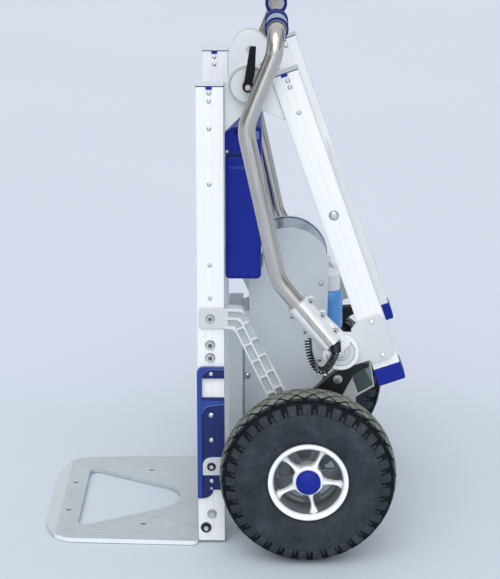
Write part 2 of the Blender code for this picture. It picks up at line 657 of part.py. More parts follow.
def handles(fold):
    """Bent tube handles, clamped in split sleeves that turn on the pivot plates."""
    down = (Vector(SLEEVE_END) - Vector(SLEEVE_TOP)).normalized()
    angle = math.atan2(-down.x, -down.y)
    for name, side in SIDES:
        axis = joint_empty(f"handle_axis_{name}", *PIVOT, fold)
        disc_y = mirror_y((RAIL_OUTER + 0.0060, RAIL_OUTER + 0.0150), side)
        clamp = rod(f"handle_clamp_{name}", PIVOT, PIVOT_R - 0.001, disc_y, "zinc", axis, 28)
        y = HANDLE_Y * side
        tube_foot = Vector((SLEEVE_END[0], y, SLEEVE_END[1]))
        top = Vector((SLEEVE_TOP[0], y, SLEEVE_TOP[1]))
        join(clamp, slanted_rod(f"sleeve_tool_{name}", top, tube_foot, SLEEVE_R, axis))
        web = rounded([(0.1290, 0.3560, 0), (0.1440, 0.3720, 0), (0.1900, 0.3250, 0.004),
                       (0.1620, 0.2940, 0.004)])
        join(clamp, plate(f"clamp_web_tool_{name}", web,
                          mirror_y((RAIL_OUTER + 0.0060, RAIL_OUTER + 0.0250), side),
                          parent=axis, origin=PIVOT))
        beyond = Vector((down.x, 0, down.y)) * 0.010
        cut(clamp, slanted_rod(f"sleeve_bore_tool_{name}", top - beyond,
                               tube_foot + beyond, TUBE_R + GAP, axis))
        ys = mirror_y((RAIL_OUTER + 0.0007, RAIL_OUTER + 0.0100, RAIL_OUTER + 0.0192), side)
        stub = [(0, ys[0]), (0.0060, ys[0]), (0.0060, ys[1]), (0.0115, ys[1]),
                (0.0115, ys[2]), (0, ys[2])]
        join(clamp, turned(f"pivot_stub_tool_{name}", stub, PIVOT, parent=axis))
        slot = block(f"sleeve_slot_tool_{name}", (-0.004, -0.02, -0.06), (0.004, 0.02, 0.06))
        slot.rotation_euler[1] = angle
        middle = (top + tube_foot) / 2
        attach(slot, middle + Vector((0, 0.025 * side, 0)), axis)
        cut(clamp, slot)

        pipe(f"handle_tube_{name}", bent_path(tube_corners(side)), TUBE_R, "steel",
             (PIVOT[0], 0, PIVOT[1]), axis)

        outer, inner = HANDLE_Y - 0.0260, HANDLE_Y - 0.1150
        bore, flange = TUBE_R + GAP, GRIP_R
        ys = mirror_y((outer, outer - 0.009, inner + 0.009, inner), side)
        profile = [(bore, ys[0]), (flange, ys[0]), (flange, ys[1]), (GRIP_R - 0.0012, ys[1]),
                   (GRIP_R - 0.0012, ys[2]), (flange, ys[2]), (flange, ys[3]), (bore, ys[3])]
        turned(f"grip_{name}", profile, GRIP_CENTRE, "grip_grey", axis)


def tube_corners(side):
    """Corners of a handle's tube, from the sleeve up to the inward grip."""
    y = HANDLE_Y * side
    end_y = (HANDLE_Y - 0.1080) * side
    return [(SLEEVE_END[0], y, SLEEVE_END[1], 0), (0.0845, y, 0.4190, 0.060),
            (0.0362, y, 0.6430, 0.060), (GRIP_CENTRE[0], y, GRIP_CENTRE[1], 0.0250),
            (GRIP_CENTRE[0], end_y, GRIP_CENTRE[1], 0)]


def slanted_rod(name, start, end, radius, parent):
    """A cylinder between two points, used as a helper."""
    bm = bmesh.new()
    length = (end - start).length
    bmesh.ops.create_cone(bm, cap_ends=True, segments=24, radius1=radius, radius2=radius,
                          depth=length)
    obj = add(name, bm, None, (start + end) / 2, parent, 30)
    obj.rotation_mode = "QUATERNION"
    obj.rotation_quaternion = (end - start).to_track_quat("Z", "Y")
    return obj


def control_button():
    """Push button in the inner end of the left grip, and the curly cord to its handle."""
    axis = bpy.data.objects["handle_axis_left"]
    y_end = -(HANDLE_Y - 0.1150)
    centre = GRIP_CENTRE
    profile = [(0, y_end + 0.0010), (0.0085, y_end + 0.0010), (0.0085, y_end + 0.0050),
               (0.0070, y_end + 0.0065), (0, y_end + 0.0065)]
    turned("control_button", profile, centre, "black_plastic", axis)
    route = [(0.1276, -0.1785, 0.3270), (0.1300, -0.1810, 0.3060), (0.1375, -0.1860, 0.2890),
             (0.1465, -0.1910, 0.2830), (0.1560, -0.1950, 0.2890), (0.1635, -0.1985, 0.3030),
             (0.1680, -0.1995, 0.3140)]
    pipe("curly_cord", smooth_path(route, 0.012), 0.0058, "black_plastic",
         (PIVOT[0], 0, PIVOT[1]), axis, 2)


# ---------------------------------------------------------------- wheels

def wheels():
    for name, side in SIDES:
        spin = joint_empty(f"wheel_axis_{name}", *AXLE)
        tyre(name, side, spin)
        rim(name, side, spin)
        hub_cap(name, side, spin)


def tyre(name, side, spin):
    bead = RIM_R + GAP
    half = [(bead, 0.0290), (0.0880, TYRE_HALF), (0.1040, 0.0405),
            (0.1190, 0.0330), (0.1275, 0.0180)]
    profile = half + [(TYRE_R, 0.0)] + [(r, -y) for r, y in reversed(half)]
    profile = [(r, y + WHEEL_Y * side) for r, y in profile]
    turned(f"tyre_{name}", profile, AXLE, "tyre_rubber", spin, WHEEL_STEPS)


def rim(name, side, spin):
    """Dished rim with five windows between its spokes."""
    y0 = WHEEL_Y * side
    profile = [(WHEEL_BORE_R, -0.030), (0.0200, -0.030), (0.0200, 0.006), (0.0500, 0.010),
               (0.0500, -0.032), (RIM_R, -0.034), (RIM_R, 0.034), (0.0520, 0.034),
               (0.0490, 0.020), (0.0200, 0.020), (0.0200, 0.0270), (WHEEL_BORE_R, 0.0270)]
    profile = [(r, y * side + y0) for r, y in profile]
    wheel = turned(f"rim_{name}", profile, AXLE, "rim_white", spin, WHEEL_STEPS)
    for index in range(5):
        middle = 64 + 72 * index + 36
        window = (arc(AXLE, 0.0440, middle - 24, middle + 24, 3)
                  + arc(AXLE, 0.0270, middle + 16, middle - 16, 1))
        y = mirror_y((WHEEL_Y - 0.010, WHEEL_Y + 0.045), side)
        cut(wheel, plate(f"rim_window_tool_{name}_{index}", window, y, parent=spin,
                         origin=AXLE, smooth=None))


def hub_cap(name, side, spin):
    y = mirror_y((WHEEL_Y + 0.0275, WHEEL_Y + 0.0335, WHEEL_Y + 0.0370, WHEEL_Y + 0.0400), side)
    profile = [(0, y[0]), (0.0185, y[0]), (0.0185, y[1]), (0.0150, y[2]), (0.0080, y[3]),
               (0, y[3])]
    cap = turned(f"hub_cap_{name}", profile, AXLE, "blue_plastic", spin)
    hollow = mirror_y((WHEEL_Y + 0.0200, WHEEL_Y + 0.0330), side)
    cut(cap, rod(f"hub_cap_tool_{name}", AXLE, 0.0120, hollow, parent=spin))


def build():
    for obj in list(bpy.data.objects):
        bpy.data.objects.remove(obj, do_unlink=True)
    fold = joint_empty("fold_axis", *HINGE)
    climb = joint_empty("climb_axis", *AXLE)
    lower_rails()
    cross_bar()
    toe_plate()
    slide_guards()
    axle_arms()
    axle()
    housing()
    gear_case()
    gears(climb)
    motor()
    rest_struts()
    climb_assembly(climb)
    battery()
    hinge_plates(fold)
    clamp_levers()
    upper_frame(fold)
    handles(fold)
    control_button()
    wheels()


build()
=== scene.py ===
"""Looks of the folding stair climbing trolley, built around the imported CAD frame."""
import json
import math

import bmesh
import bpy
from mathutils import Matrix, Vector


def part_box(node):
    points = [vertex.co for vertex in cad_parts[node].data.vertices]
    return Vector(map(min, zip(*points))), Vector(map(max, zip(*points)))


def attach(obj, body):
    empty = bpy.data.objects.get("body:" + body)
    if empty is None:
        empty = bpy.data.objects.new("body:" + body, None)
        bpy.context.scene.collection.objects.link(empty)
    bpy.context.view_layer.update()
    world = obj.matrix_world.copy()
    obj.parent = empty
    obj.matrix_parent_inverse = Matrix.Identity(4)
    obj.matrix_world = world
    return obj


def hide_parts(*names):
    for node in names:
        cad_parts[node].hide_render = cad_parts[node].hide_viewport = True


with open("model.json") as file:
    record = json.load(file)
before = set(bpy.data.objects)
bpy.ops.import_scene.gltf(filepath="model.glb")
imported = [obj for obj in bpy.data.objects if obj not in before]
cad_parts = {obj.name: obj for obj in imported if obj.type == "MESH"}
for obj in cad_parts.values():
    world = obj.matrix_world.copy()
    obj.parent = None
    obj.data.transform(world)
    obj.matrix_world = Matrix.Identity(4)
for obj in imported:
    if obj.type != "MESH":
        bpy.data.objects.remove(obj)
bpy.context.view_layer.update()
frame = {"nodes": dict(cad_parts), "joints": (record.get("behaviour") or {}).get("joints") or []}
JOINTS = {joint["name"]: joint for joint in frame["joints"]}
SIDES = (("left", -1), ("right", 1))


def joint_xz(name):
    place = JOINTS[name]["pos_m"]
    return place[0], place[2]


AXLE = joint_xz("wheel_spin_left")
HINGE = joint_xz("frame_fold")
PIVOT = joint_xz("handle_turn_left")
ROLLER_PIN = joint_xz("climb_roller_spin_left")
RAIL_LOW, RAIL_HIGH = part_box("lower_rail_left")
RAIL_OUTER = -RAIL_LOW.y
RAIL_INNER = -RAIL_HIGH.y
RAIL_MID = (RAIL_LOW.x + RAIL_HIGH.x) / 2
UPPER_LOW, UPPER_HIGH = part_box("upper_rail_left")
TILT = math.radians(19.37)  # lean of the folded upper rails
RAIL_DEPTH = RAIL_HIGH.x - RAIL_LOW.x
UPPER_TOP = (UPPER_LOW.x + RAIL_DEPTH / 2 * math.cos(TILT),
             UPPER_HIGH.z - RAIL_DEPTH / 2 * math.sin(TILT))
UPPER_LENGTH = 0.486  # one upper rail with its end cap
END_CAP = 0.027
BORE_R = 0.0103  # round the wheel axle
HANDLE_Y = 0.195
TUBE_R = 0.0123
SLEEVE_TOP = (0.1111, 0.3867)
SLEEVE_END = (0.1608, 0.3261)
TUBE_BEND = (0.0770, 0.7460)  # the bend below the grip


# ---------------------------------------------------------------- materials

MATERIALS = {}


def new_material(name):
    """Keep a material under its name, and hand back its node tree and shader."""
    made = bpy.data.materials.new(name)
    made.use_nodes = True
    MATERIALS[name] = made
    return made.node_tree, made.node_tree.nodes["Principled BSDF"]


def feed(graph, node, inputs):
    """Link each input that is given a socket, and set each that is given a value."""
    for key, value in inputs.items():
        if isinstance(value, bpy.types.NodeSocket):
            graph.links.new(value, node.inputs[key])
        else:
            node.inputs[key].default_value = value
    return node


def wire(graph, kind, inputs, **settings):
    node = graph.nodes.new(f"ShaderNode{kind}")
    for key, value in settings.items():
        setattr(node, key, value)
    return feed(graph, node, inputs)


def mixed(graph, factor, first, second, kind="RGBA"):
    return wire(graph, "Mix", {"Factor": factor, "A": first, "B": second},
                data_type=kind).outputs["Result"]


def noise(graph, scale, detail=4.0, stretch=(1, 1, 1), turn=0.0, rough=0.55):
    """A noise pattern fixed to the piece, stretched along one axis for brushed metal."""
    coords = wire(graph, "TexCoord", {})
    place = wire(graph, "Mapping", {"Vector": coords.outputs["Object"], "Rotation": (0, turn, 0)})
    spread = wire(graph, "VectorMath", {0: place.outputs["Vector"], 1: stretch},
                  operation="MULTIPLY")
    return wire(graph, "TexNoise", {"Vector": spread.outputs["Vector"], "Scale": scale,
                                    "Detail": detail, "Roughness": rough}).outputs["Fac"]


def ramp(graph, source, stops):
    """Colour or grey stops, each (position, value or rgb)."""
    node = wire(graph, "ValToRGB", {"Fac": source})
    elements = node.color_ramp.elements
    while len(elements) < len(stops):
        elements.new(0.5)
    for element, (position, value) in zip(elements, stops):
        element.position = position
        colour = value if hasattr(value, "__len__") else (value,) * 3
        element.color = (*colour, 1.0)
    return node.outputs["Color"]


def bump(graph, height, strength, distance):
    return wire(graph, "Bump", {"Height": height, "Strength": strength,
                                "Distance": distance}).outputs["Normal"]


def shaded(colour, factor):
    return tuple(min(1.0, part * factor) for part in colour)


def surface(name, colour, rough, metallic=0.0, vary=0.06, patch=9.0, grain=600.0,
            grain_strength=0.1, grain_depth=0.0003, **sockets):
    """Base colour with slow variation, roughness that wanders, and a fine grain bump."""
    graph, shader = new_material(name)
    fine = noise(graph, grain, 3.0)
    feed(graph, shader, {
        "Base Color": ramp(graph, noise(graph, patch, 5.0), [(0.30, shaded(colour, 1 - vary)),
                                                             (0.5, colour),
                                                             (0.72, shaded(colour, 1 + vary))]),
        "Roughness": ramp(graph, fine, [(0.3, rough * 0.86), (0.7, rough * 1.14)]),
        "Normal": bump(graph, fine, grain_strength, grain_depth), "Metallic": metallic})
    feed(graph, shader, {key.replace("_", " "): value for key, value in sockets.items()})


def brushed(name, colour, rough, metallic, stretch, turn=0.0, contrast=0.10, grain=90.0,
            strength=0.12):
    """Metal with streaks drawn out along one direction, in colour, gloss and relief."""
    graph, shader = new_material(name)
    streak = noise(graph, grain, 4.0, stretch, turn, 0.65)
    clouded = mixed(graph, 0.35, streak, noise(graph, 7.0, 3.0), "FLOAT")
    feed(graph, shader, {
        "Base Color": ramp(graph, clouded, [(0.32, shaded(colour, 1 - contrast)), (0.5, colour),
                                            (0.68, shaded(colour, 1 + contrast * 0.6))]),
        "Roughness": ramp(graph, streak, [(0.3, rough * 0.75), (0.7, rough * 1.3)]),
        "Normal": bump(graph, streak, strength, 0.0002), "Metallic": metallic})


def radius_mask(graph, centre, near, far):
    """0 inside one radius about the Y line through centre, 1 outside another."""
    coords = wire(graph, "TexCoord", {})
    shift = wire(graph, "VectorMath", {0: coords.outputs["Object"],
                                       1: (centre[0], 0, centre[1])}, operation="SUBTRACT")
    flat = wire(graph, "VectorMath", {0: shift.outputs["Vector"], 1: (1, 0, 1)},
                operation="MULTIPLY")
    length = wire(graph, "VectorMath", {0: flat.outputs["Vector"]}, operation="LENGTH")
    return wire(graph, "MapRange", {"Value": length.outputs["Value"], "From Min": near,
                                    "From Max": far}).outputs["Result"]


def tyre_material():
    """Blue-black sidewall rubber; the tops of the tread blocks are dusty grey-green."""
    graph, shader = new_material("tyre_rubber")
    slow = noise(graph, 34.0, 8.0, rough=0.68)
    wall = ramp(graph, slow, [(0.34, (0.017, 0.023, 0.031)), (0.52, (0.030, 0.037, 0.048)),
                              (0.68, (0.052, 0.060, 0.073))])
    dark = ramp(graph, slow, [(0.30, (0.010, 0.016, 0.022)), (0.75, (0.020, 0.028, 0.036))])
    dusty = ramp(graph, noise(graph, 70.0, 5.0), [(0.30, (0.11, 0.125, 0.105)),
                                                  (0.70, (0.25, 0.27, 0.235))])
    below = mixed(graph, radius_mask(graph, AXLE, 0.1195, 0.1225), wall, dark)
    feed(graph, shader, {
        "Base Color": mixed(graph, radius_mask(graph, AXLE, 0.1262, 0.1272), below, dusty),
        "Roughness": ramp(graph, slow, [(0.3, 0.62), (0.7, 0.82)]),
        "Normal": bump(graph, noise(graph, 500.0, 4.0), 0.25, 0.0004),
        "Specular IOR Level": 0.25})


def make_materials():
    """Every material of the object, by name."""
    brushed("rail_white", (0.85, 0.865, 0.88), 0.40, 0.10, (6, 6, 0.25),
            contrast=0.025, strength=0.05)
    brushed("rail_tilted", (0.84, 0.855, 0.87), 0.40, 0.10, (6, 6, 0.25), TILT,
            0.02, strength=0.05)
    surface("plate_white", (0.61, 0.64, 0.67), 0.40, 0.05, 0.03, grain=900)
    brushed("toe_aluminium", (0.50, 0.55, 0.59), 0.42, 0.35, (1, 4, 4),
            contrast=0.20, grain=45)
    # A much lighter finish for the toe blade's side edges: a painted highlight.
    brushed("toe_edge_painted_highlight", (0.80, 0.84, 0.87), 0.35, 0.10, (0.4, 5, 5), contrast=0.08,
            grain=60)
    brushed("toe_bevel", (0.58, 0.63, 0.67), 0.40, 0.30, (5, 1, 5), contrast=0.10,
            grain=50)
    surface("blue_plastic", (0.009, 0.023, 0.290), 0.42, vary=0.10,
            grain=1500, grain_strength=0.16, Specular_IOR_Level=0.16)
    surface("guard_blue", (0.010, 0.022, 0.125), 0.45, vary=0.15, grain=1200,
            grain_strength=0.2, Specular_IOR_Level=0.28)
    surface("guard_rim", (0.018, 0.052, 0.290), 0.36, vary=0.12, grain=1200,
            grain_strength=0.15, Specular_IOR_Level=0.35)
    # Lighter blue for painted highlights: the strips along the guard arches, and in part the battery
    # latches.
    surface("painted_highlight_blue", (0.12, 0.19, 0.45), 0.34, vary=0.15, grain=1200,
            grain_strength=0.15)
    surface("grip_blue", (0.008, 0.024, 0.170), 0.60, vary=0.10, grain=1200,
            grain_strength=0.2, Specular_IOR_Level=0.05)
    surface("cap_pale", (0.62, 0.68, 0.76), 0.45, vary=0.03, grain=900)
    # A lighter copy of plate_white for the hinge plates: painted light against the shadow of the
    # hinge disc.
    surface("gusset_white_painted_light", (0.74, 0.77, 0.79), 0.40, 0.05, 0.03, grain=900)
    surface("housing_grey", (0.66, 0.72, 0.76), 0.40, 0.05, 0.05,
            grain=1100, grain_strength=0.12)
    surface("wrap_glossy", (0.22, 0.31, 0.42), 0.18, 0.35, 0.12, grain=300,
            grain_strength=0.03)
    surface("cast_grey", (0.44, 0.48, 0.51), 0.50, 0.15, 0.05, grain=1400,
            grain_strength=0.35, grain_depth=0.0005)
    surface("lug_grey", (0.62, 0.64, 0.65), 0.55, 0.10, 0.04, grain=2200,
            grain_strength=0.55, grain_depth=0.0006)
    surface("rib_white", (0.66, 0.69, 0.715), 0.45, 0.10, 0.03, grain=1400,
            grain_strength=0.2)
    surface("zinc", (0.62, 0.64, 0.66), 0.28, 0.85, 0.10, patch=60, grain=700)
    brushed("satin_silver", (0.88, 0.89, 0.91), 0.32, 0.50, (6, 6, 0.5), 0.69,
            0.10, 80, 0.06)
    brushed("steel", (0.56, 0.54, 0.51), 0.20, 1.0, (7, 7, 0.4), 0.21, 0.22, 80,
            0.05)
    surface("black_plastic", (0.010, 0.011, 0.015), 0.42, vary=0.2,
            grain=900, grain_strength=0.2, Specular_IOR_Level=0.35)
    surface("dark_metal", (0.10, 0.11, 0.12), 0.50, 0.5, 0.2, patch=30)
    surface("inner_grey", (0.16, 0.18, 0.20), 0.55, 0.2, 0.15, patch=40)
    surface("bumper_rubber", (0.070, 0.102, 0.106), 0.50, vary=0.15,
            patch=40, grain=500, grain_strength=0.2)
    surface("cord_rubber", (0.012, 0.012, 0.014), 0.25, vary=0.25, patch=60)
    surface("motor_blue", (0.080, 0.32, 0.74), 0.24, vary=0.10, grain=500,
            grain_strength=0.04, Coat_Weight=0.4, Coat_Roughness=0.1)
    surface("collar_white", (0.82, 0.84, 0.86), 0.30, vary=0.05, grain=900)
    surface("rim_white", (0.93, 0.95, 0.97), 0.32, 0.1, 0.04, grain=900)
    # Grey of the wheel's dish between the spokes, also the painted shade on the sleeve inside the
    # rim barrel.
    surface("rim_inner", (0.17, 0.19, 0.205), 0.40, 0.35, 0.12, patch=40)
    surface("grip_grey", (0.29, 0.355, 0.47), 0.55, vary=0.08, grain=1600,
            grain_strength=0.5, grain_depth=0.0005)
    surface("roller_cream", (0.72, 0.66, 0.52), 0.45, vary=0.10, patch=40)
    surface("lever_black", (0.004, 0.004, 0.006), 0.45, vary=0.2, grain=900,
            Specular_IOR_Level=0.15)
    surface("screw_beige", (0.48, 0.45, 0.38), 0.40, 0.6, 0.1, patch=80)
    tyre_material()
    # Near-black rubber for the tread grooves: painted shade.
    surface("tread_gap_painted_shade", (0.009, 0.012, 0.016), 0.75, vary=0.3, patch=60,
            grain=500, Specular_IOR_Level=0.1)


# ---------------------------------------------------------------- mesh building

def linked(name, data):
    obj = bpy.data.objects.new(name, data)
    bpy.context.scene.collection.objects.link(obj)
    return obj


def add(name, bm, finish, body, smooth=35, cad=None, slot=None):
    """Turn a bmesh into a piece that rides on a body and may stand for a CAD node."""
    bmesh.ops.recalc_face_normals(bm, faces=bm.faces)
    mesh = bpy.data.meshes.new(name)
    bm.to_mesh(mesh)
    bm.free()
    if smooth:
        mesh.shade_smooth()
        mesh.set_sharp_from_angle(angle=math.radians(smooth))
    obj = linked(name, mesh)
    if finish:
        mesh.materials.append(MATERIALS[finish])
    if body:
        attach(obj, body)
    if cad:
        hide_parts(cad)
    return obj


def bevel(obj, width, segments=2, limit=40):
    mod = obj.modifiers.new("edges", "BEVEL")
    mod.width = width
    mod.segments = segments
    mod.limit_method = "ANGLE"
    mod.angle_limit = math.radians(limit)
    mod.harden_normals = True
    return obj


def boolean(obj, tool, operation):
    """Cut or join with a helper piece, then apply and remove the helper."""
    mod = obj.modifiers.new("boolean", "BOOLEAN")
    mod.operation = operation
    mod.solver = "EXACT"
    mod.object = tool
    bpy.context.view_layer.update()
    graph = bpy.context.evaluated_depsgraph_get()
    old = obj.data
    fresh = bpy.data.meshes.new_from_object(obj.evaluated_get(graph))
    obj.modifiers.clear()
    obj.data = fresh
    fresh.name = old.name
    bpy.data.meshes.remove(old)
    bpy.data.objects.remove(tool, do_unlink=True)
    return obj


def cut(obj, tool):
    return boolean(obj, tool, "DIFFERENCE")


def join(obj, tool):
    return boolean(obj, tool, "UNION")


def fillet(before, corner, after, radius):
    """Centre of the arc that rounds a corner, and its two ends as seen from there."""
    first, second = (before - corner).normalized(), (after - corner).normalized()
    half = first.angle(second) / 2
    centre = corner + (first + second).normalized() * (radius / math.sin(half))
    reach = radius / math.tan(half)
    return centre, corner + first * reach - centre, corner + second * reach - centre


def rounded(corners, steps=6):
    """An outline whose corners (x, z, radius) are rounded by arcs."""
    points = []
    places = [Vector(corner[:2]) for corner in corners]
    for index, corner in enumerate(places):
        radius = corners[index][2]
        if not radius:
            points.append(corner)
            continue
        centre, start, end = fillet(places[index - 1], corner,
                                    places[(index + 1) % len(places)], radius)
        turn = start.angle_signed(end)
        for step in range(steps + 1):
            angle = -turn * step / steps
            points.append(centre + Vector((
                start.x * math.cos(angle) - start.y * math.sin(angle),
                start.x * math.sin(angle) + start.y * math.cos(angle))))
    return [(p.x, p.y) for p in points]


def arc(centre, radius, start_deg, end_deg, steps=24):
    points = []
    for step in range(steps + 1):
        angle = math.radians(start_deg + (end_deg - start_deg) * step / steps)
        points.append((centre[0] + radius * math.cos(angle),
                       centre[1] + radius * math.sin(angle)))
    return points


def mirror(values, side):
    return [value * side for value in values]


def disc(radius, low, high):
    """The (radius, y) profile of a plain disc."""
    return [(0, low), (radius, low), (radius, high), (0, high)]


def lifted(level, profile):
    """A (radius, height) profile raised to a level."""
    return [(radius, level + height) for radius, height in profile]


def y_extent(node):
    """Least and greatest distance of a node from the middle plane."""
    low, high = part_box(node)
    return min(abs(low.y), abs(high.y)), max(abs(low.y), abs(high.y))


def extruded(corners, reach):
    bm = bmesh.new()
    face = bm.faces.new([bm.verts.new(corner) for corner in corners])
    grown = bmesh.ops.extrude_face_region(bm, geom=[face])["geom"]
    moved = [item for item in grown if isinstance(item, bmesh.types.BMVert)]
    bmesh.ops.translate(bm, vec=reach, verts=moved)
    return bm


def plate(name, outline, y_range, finish=None, body=None, smooth=35, **more):
    """An XZ outline extruded along Y."""
    low, high = min(y_range), max(y_range)
    bm = extruded([(x, low, z) for x, z in outline], (0, high - low, 0))
    return add(name, bm, finish, body, smooth, **more)


def flat_prism(name, outline, z_range, finish=None, body=None, smooth=35, **more):
    """An XY outline extruded upward."""
    bm = extruded([(x, y, z_range[0]) for x, y in outline], (0, 0, z_range[1] - z_range[0]))
    return add(name, bm, finish, body, smooth, **more)


def block(name, low, high, finish=None, body=None, **more):
    low, high = Vector(low), Vector(high)
    bm = bmesh.new()
    bmesh.ops.create_cube(bm, size=1.0)
    bmesh.ops.scale(bm, vec=high - low, verts=bm.verts)
    bmesh.ops.translate(bm, vec=(low + high) / 2, verts=bm.verts)
    return add(name, bm, finish, body, **more)


def spun(profile, axis, steps, place):
    """A closed profile turned about an axis through the origin, then moved to its place."""
    bm = bmesh.new()
    verts = [bm.verts.new(point) for point in profile]
    edges = [bm.edges.new(pair) for pair in zip(verts, verts[1:] + verts[:1])
             if pair[0].co.x > 1e-6 or pair[1].co.x > 1e-6]
    bmesh.ops.spin(bm, geom=verts + edges, cent=(0, 0, 0), axis=axis, angle=math.tau,
                   steps=steps)
    bmesh.ops.remove_doubles(bm, verts=bm.verts, dist=1e-6)
    bmesh.ops.translate(bm, vec=place, verts=bm.verts)
    return bm


def turned(name, profile, centre, finish=None, body=None, steps=64, smooth=35, side=1, **more):
    """A (radius, y) profile spun about the Y line through centre. side mirrors its y."""
    bm = spun([(radius, y * side, 0) for radius, y in profile], (0, 1, 0), steps,
              (centre[0], 0, centre[1]))
    return add(name, bm, finish, body, smooth, **more)


def upright(name, profile, centre, finish, steps=48, **more):
    """A (radius, z) profile spun about a vertical line."""
    bm = spun([(radius, 0, z) for radius, z in profile], (0, 0, 1), steps, (*centre, 0))
    return add(name, bm, finish, "root", 30, **more)


def heading(path, index):
    """Unit direction of a path at one of its points."""
    return (path[min(index + 1, len(path) - 1)] - path[max(index - 1, 0)]).normalized()


def carried(path, side_vector=None):
    """Two unit vectors square to each other and to the path, at every point, with no twist."""
    for index in range(len(path)):
        ahead = heading(path, index)
        if side_vector is None:
            side_vector = ahead.orthogonal().normalized()
        side_vector = (side_vector - ahead * side_vector.dot(ahead)).normalized()
        yield side_vector, ahead.cross(side_vector)


def at_angle(side_vector, other, angle):
    return side_vector * math.cos(angle) + other * math.sin(angle)


def skin(bm, rings):
    """Quads between neighbouring rings, and a cap at each end."""
    for first, second in zip(rings, rings[1:]):
        for step in range(len(first)):
            after = (step + 1) % len(first)
            bm.faces.new((first[step], first[after], second[after], second[step]))
    bm.faces.new(rings[0][::-1])
    bm.faces.new(rings[-1])


def tube(name, path, radius, finish=None, body=None, sides=20, **more):
    """A round, capped tube swept along points."""
    bm = bmesh.new()
    points = [Vector(p) for p in path]
    rings = [[bm.verts.new(point + at_angle(*vectors, math.tau * step / sides) * radius)
              for step in range(sides)] for point, vectors in zip(points, carried(points))]
    skin(bm, rings)
    return add(name, bm, finish, body, 40, **more)


def bent_path(corners, steps=14):
    """Straight runs joined by arcs; each corner is (x, y, z, bend radius)."""
    places = [Vector(corner[:3]) for corner in corners]
    path = [places[0]]
    for index in range(1, len(corners) - 1):
        radius = corners[index][3]
        centre, start, end = fillet(places[index - 1], places[index], places[index + 1], radius)
        for step in range(steps + 1):
            path.append(centre + start.normalized().slerp(end.normalized(), step / steps)
                        * radius)
    return path + [places[-1]]


def catmull(a, b, c, d, t):
    """A point between b and c on the Catmull-Rom curve through four points or values."""
    return 0.5 * (2 * b + (c - a) * t + (2 * a - 5 * b + 4 * c - d) * t ** 2
                  + (3 * b - a - 3 * c + d) * t ** 3)


def smooth_path(points, spacing):
    """Evenly spaced points on a Catmull-Rom curve through given points."""
    points = [Vector(p) for p in points]
    padded = [points[0] * 2 - points[1]] + points + [points[-1] * 2 - points[-2]]
    path = []
    for a, b, c, d in zip(padded, padded[1:], padded[2:], padded[3:]):
        count = max(1, round((c - b).length / spacing))
        path += [catmull(a, b, c, d, step / count) for step in range(count)]
    return path + [points[-1]]


def along_rail(distance, offset=0.0):
    """X, Z of a point measured down the upper rail from its top end, and across it."""
    return (UPPER_TOP[0] + distance * math.sin(TILT) + offset * math.cos(TILT),
            UPPER_TOP[1] - distance * math.cos(TILT) + offset * math.sin(TILT))


# ---------------------------------------------------------------- fasteners

def screw(name, x, z, y_face, side, radius, body="root", finish="zinc", height=0.0022,
          socket=True):
    """A screw head on a face at |y| = y_face, with a dark seat round it and a dark socket."""
    r, h = radius, height
    if socket:
        profile = [(0, -0.001), (r, -0.001), (r, h * 0.55), (r * 0.82, h), (r * 0.50, h),
                   (r * 0.46, h * 0.20), (0, h * 0.20)]
    else:
        profile = [(0, -0.001), (r, -0.001), (r, h * 0.35), (r * 0.7, h * 0.85), (0, h)]
    head = turned(name, lifted(y_face, profile), (x, z), finish, body, 20, 30, side)
    if socket:
        head.data.materials.append(MATERIALS["inner_grey" if finish != "black_plastic" else "zinc"])
        for polygon in head.data.polygons:
            if math.hypot(polygon.center.x - x, polygon.center.z - z) < r * 0.49:
                polygon.material_index = 1
    turned(f"{name}_seat", disc(r * 1.16, y_face - 0.001, y_face + 0.00025), (x, z),
           "inner_grey", body, 20, 30, side)


def dome(name, x, z, y_face, side, radius, height, body="root", finish="zinc"):
    """A screw whose head has no socket."""
    screw(name, x, z, y_face, side, radius, body, finish, height, False)


def hex_bolt(name, x, z, y_face, side, radius, body="root"):
    """A washer on a dark seat, and a six-sided bolt head."""
    for part, finish, reach, low, high in (("seat", "dark_metal", 1.50, -0.001, 0.0003),
                                           ("washer", "zinc", 1.35, -0.001, 0.0010),
                                           ("ring", "inner_grey", 1.10, 0.0005, 0.0012)):
        turned(f"{name}_{part}", disc(radius * reach, y_face + low, y_face + high), (x, z), finish,
               body, 28, 30, side)
    head = [(0, 0.0005), (radius, 0.0005), (radius, 0.0045), (radius * 0.85, 0.0055),
            (0, 0.0055)]
    turned(name, lifted(y_face, head), (x, z), "zinc", body, 6, 20, side)


# ---------------------------------------------------------------- lower frame

def rail_section(x_mid, y_in, y_out, depth):
    """Cross-section of a rail, in X and Y: rounded corners and two grooves in each wide
    face. y_in and y_out may be in either order."""
    low, high = x_mid - depth / 2, x_mid + depth / 2
    y0, y1 = min(y_in, y_out), max(y_in, y_out)
    notch, deep, edge = 0.0009, 0.0007, 0.0016
    grooves = (low + depth * 0.315, low + depth * 0.59)
    bottom = [(low + edge, y0)]
    for g in grooves:
        bottom += [(g - notch, y0), (g - notch * 0.4, y0 + deep), (g + notch * 0.4, y0 + deep),
                   (g + notch, y0)]
    bottom += [(high - edge, y0), (high - edge * 0.3, y0 + edge * 0.3), (high, y0 + edge)]
    top = [(high, y1 - edge), (high - edge * 0.3, y1 - edge * 0.3), (high - edge, y1)]
    for g in reversed(grooves):
        top += [(g + notch, y1), (g + notch * 0.4, y1 - deep), (g - notch * 0.4, y1 - deep),
                (g - notch, y1)]
    top += [(low + edge, y1), (low + edge * 0.3, y1 - edge * 0.3), (low, y1 - edge),
            (low, y0 + edge), (low + edge * 0.3, y0 + edge * 0.3)]
    return bottom + top


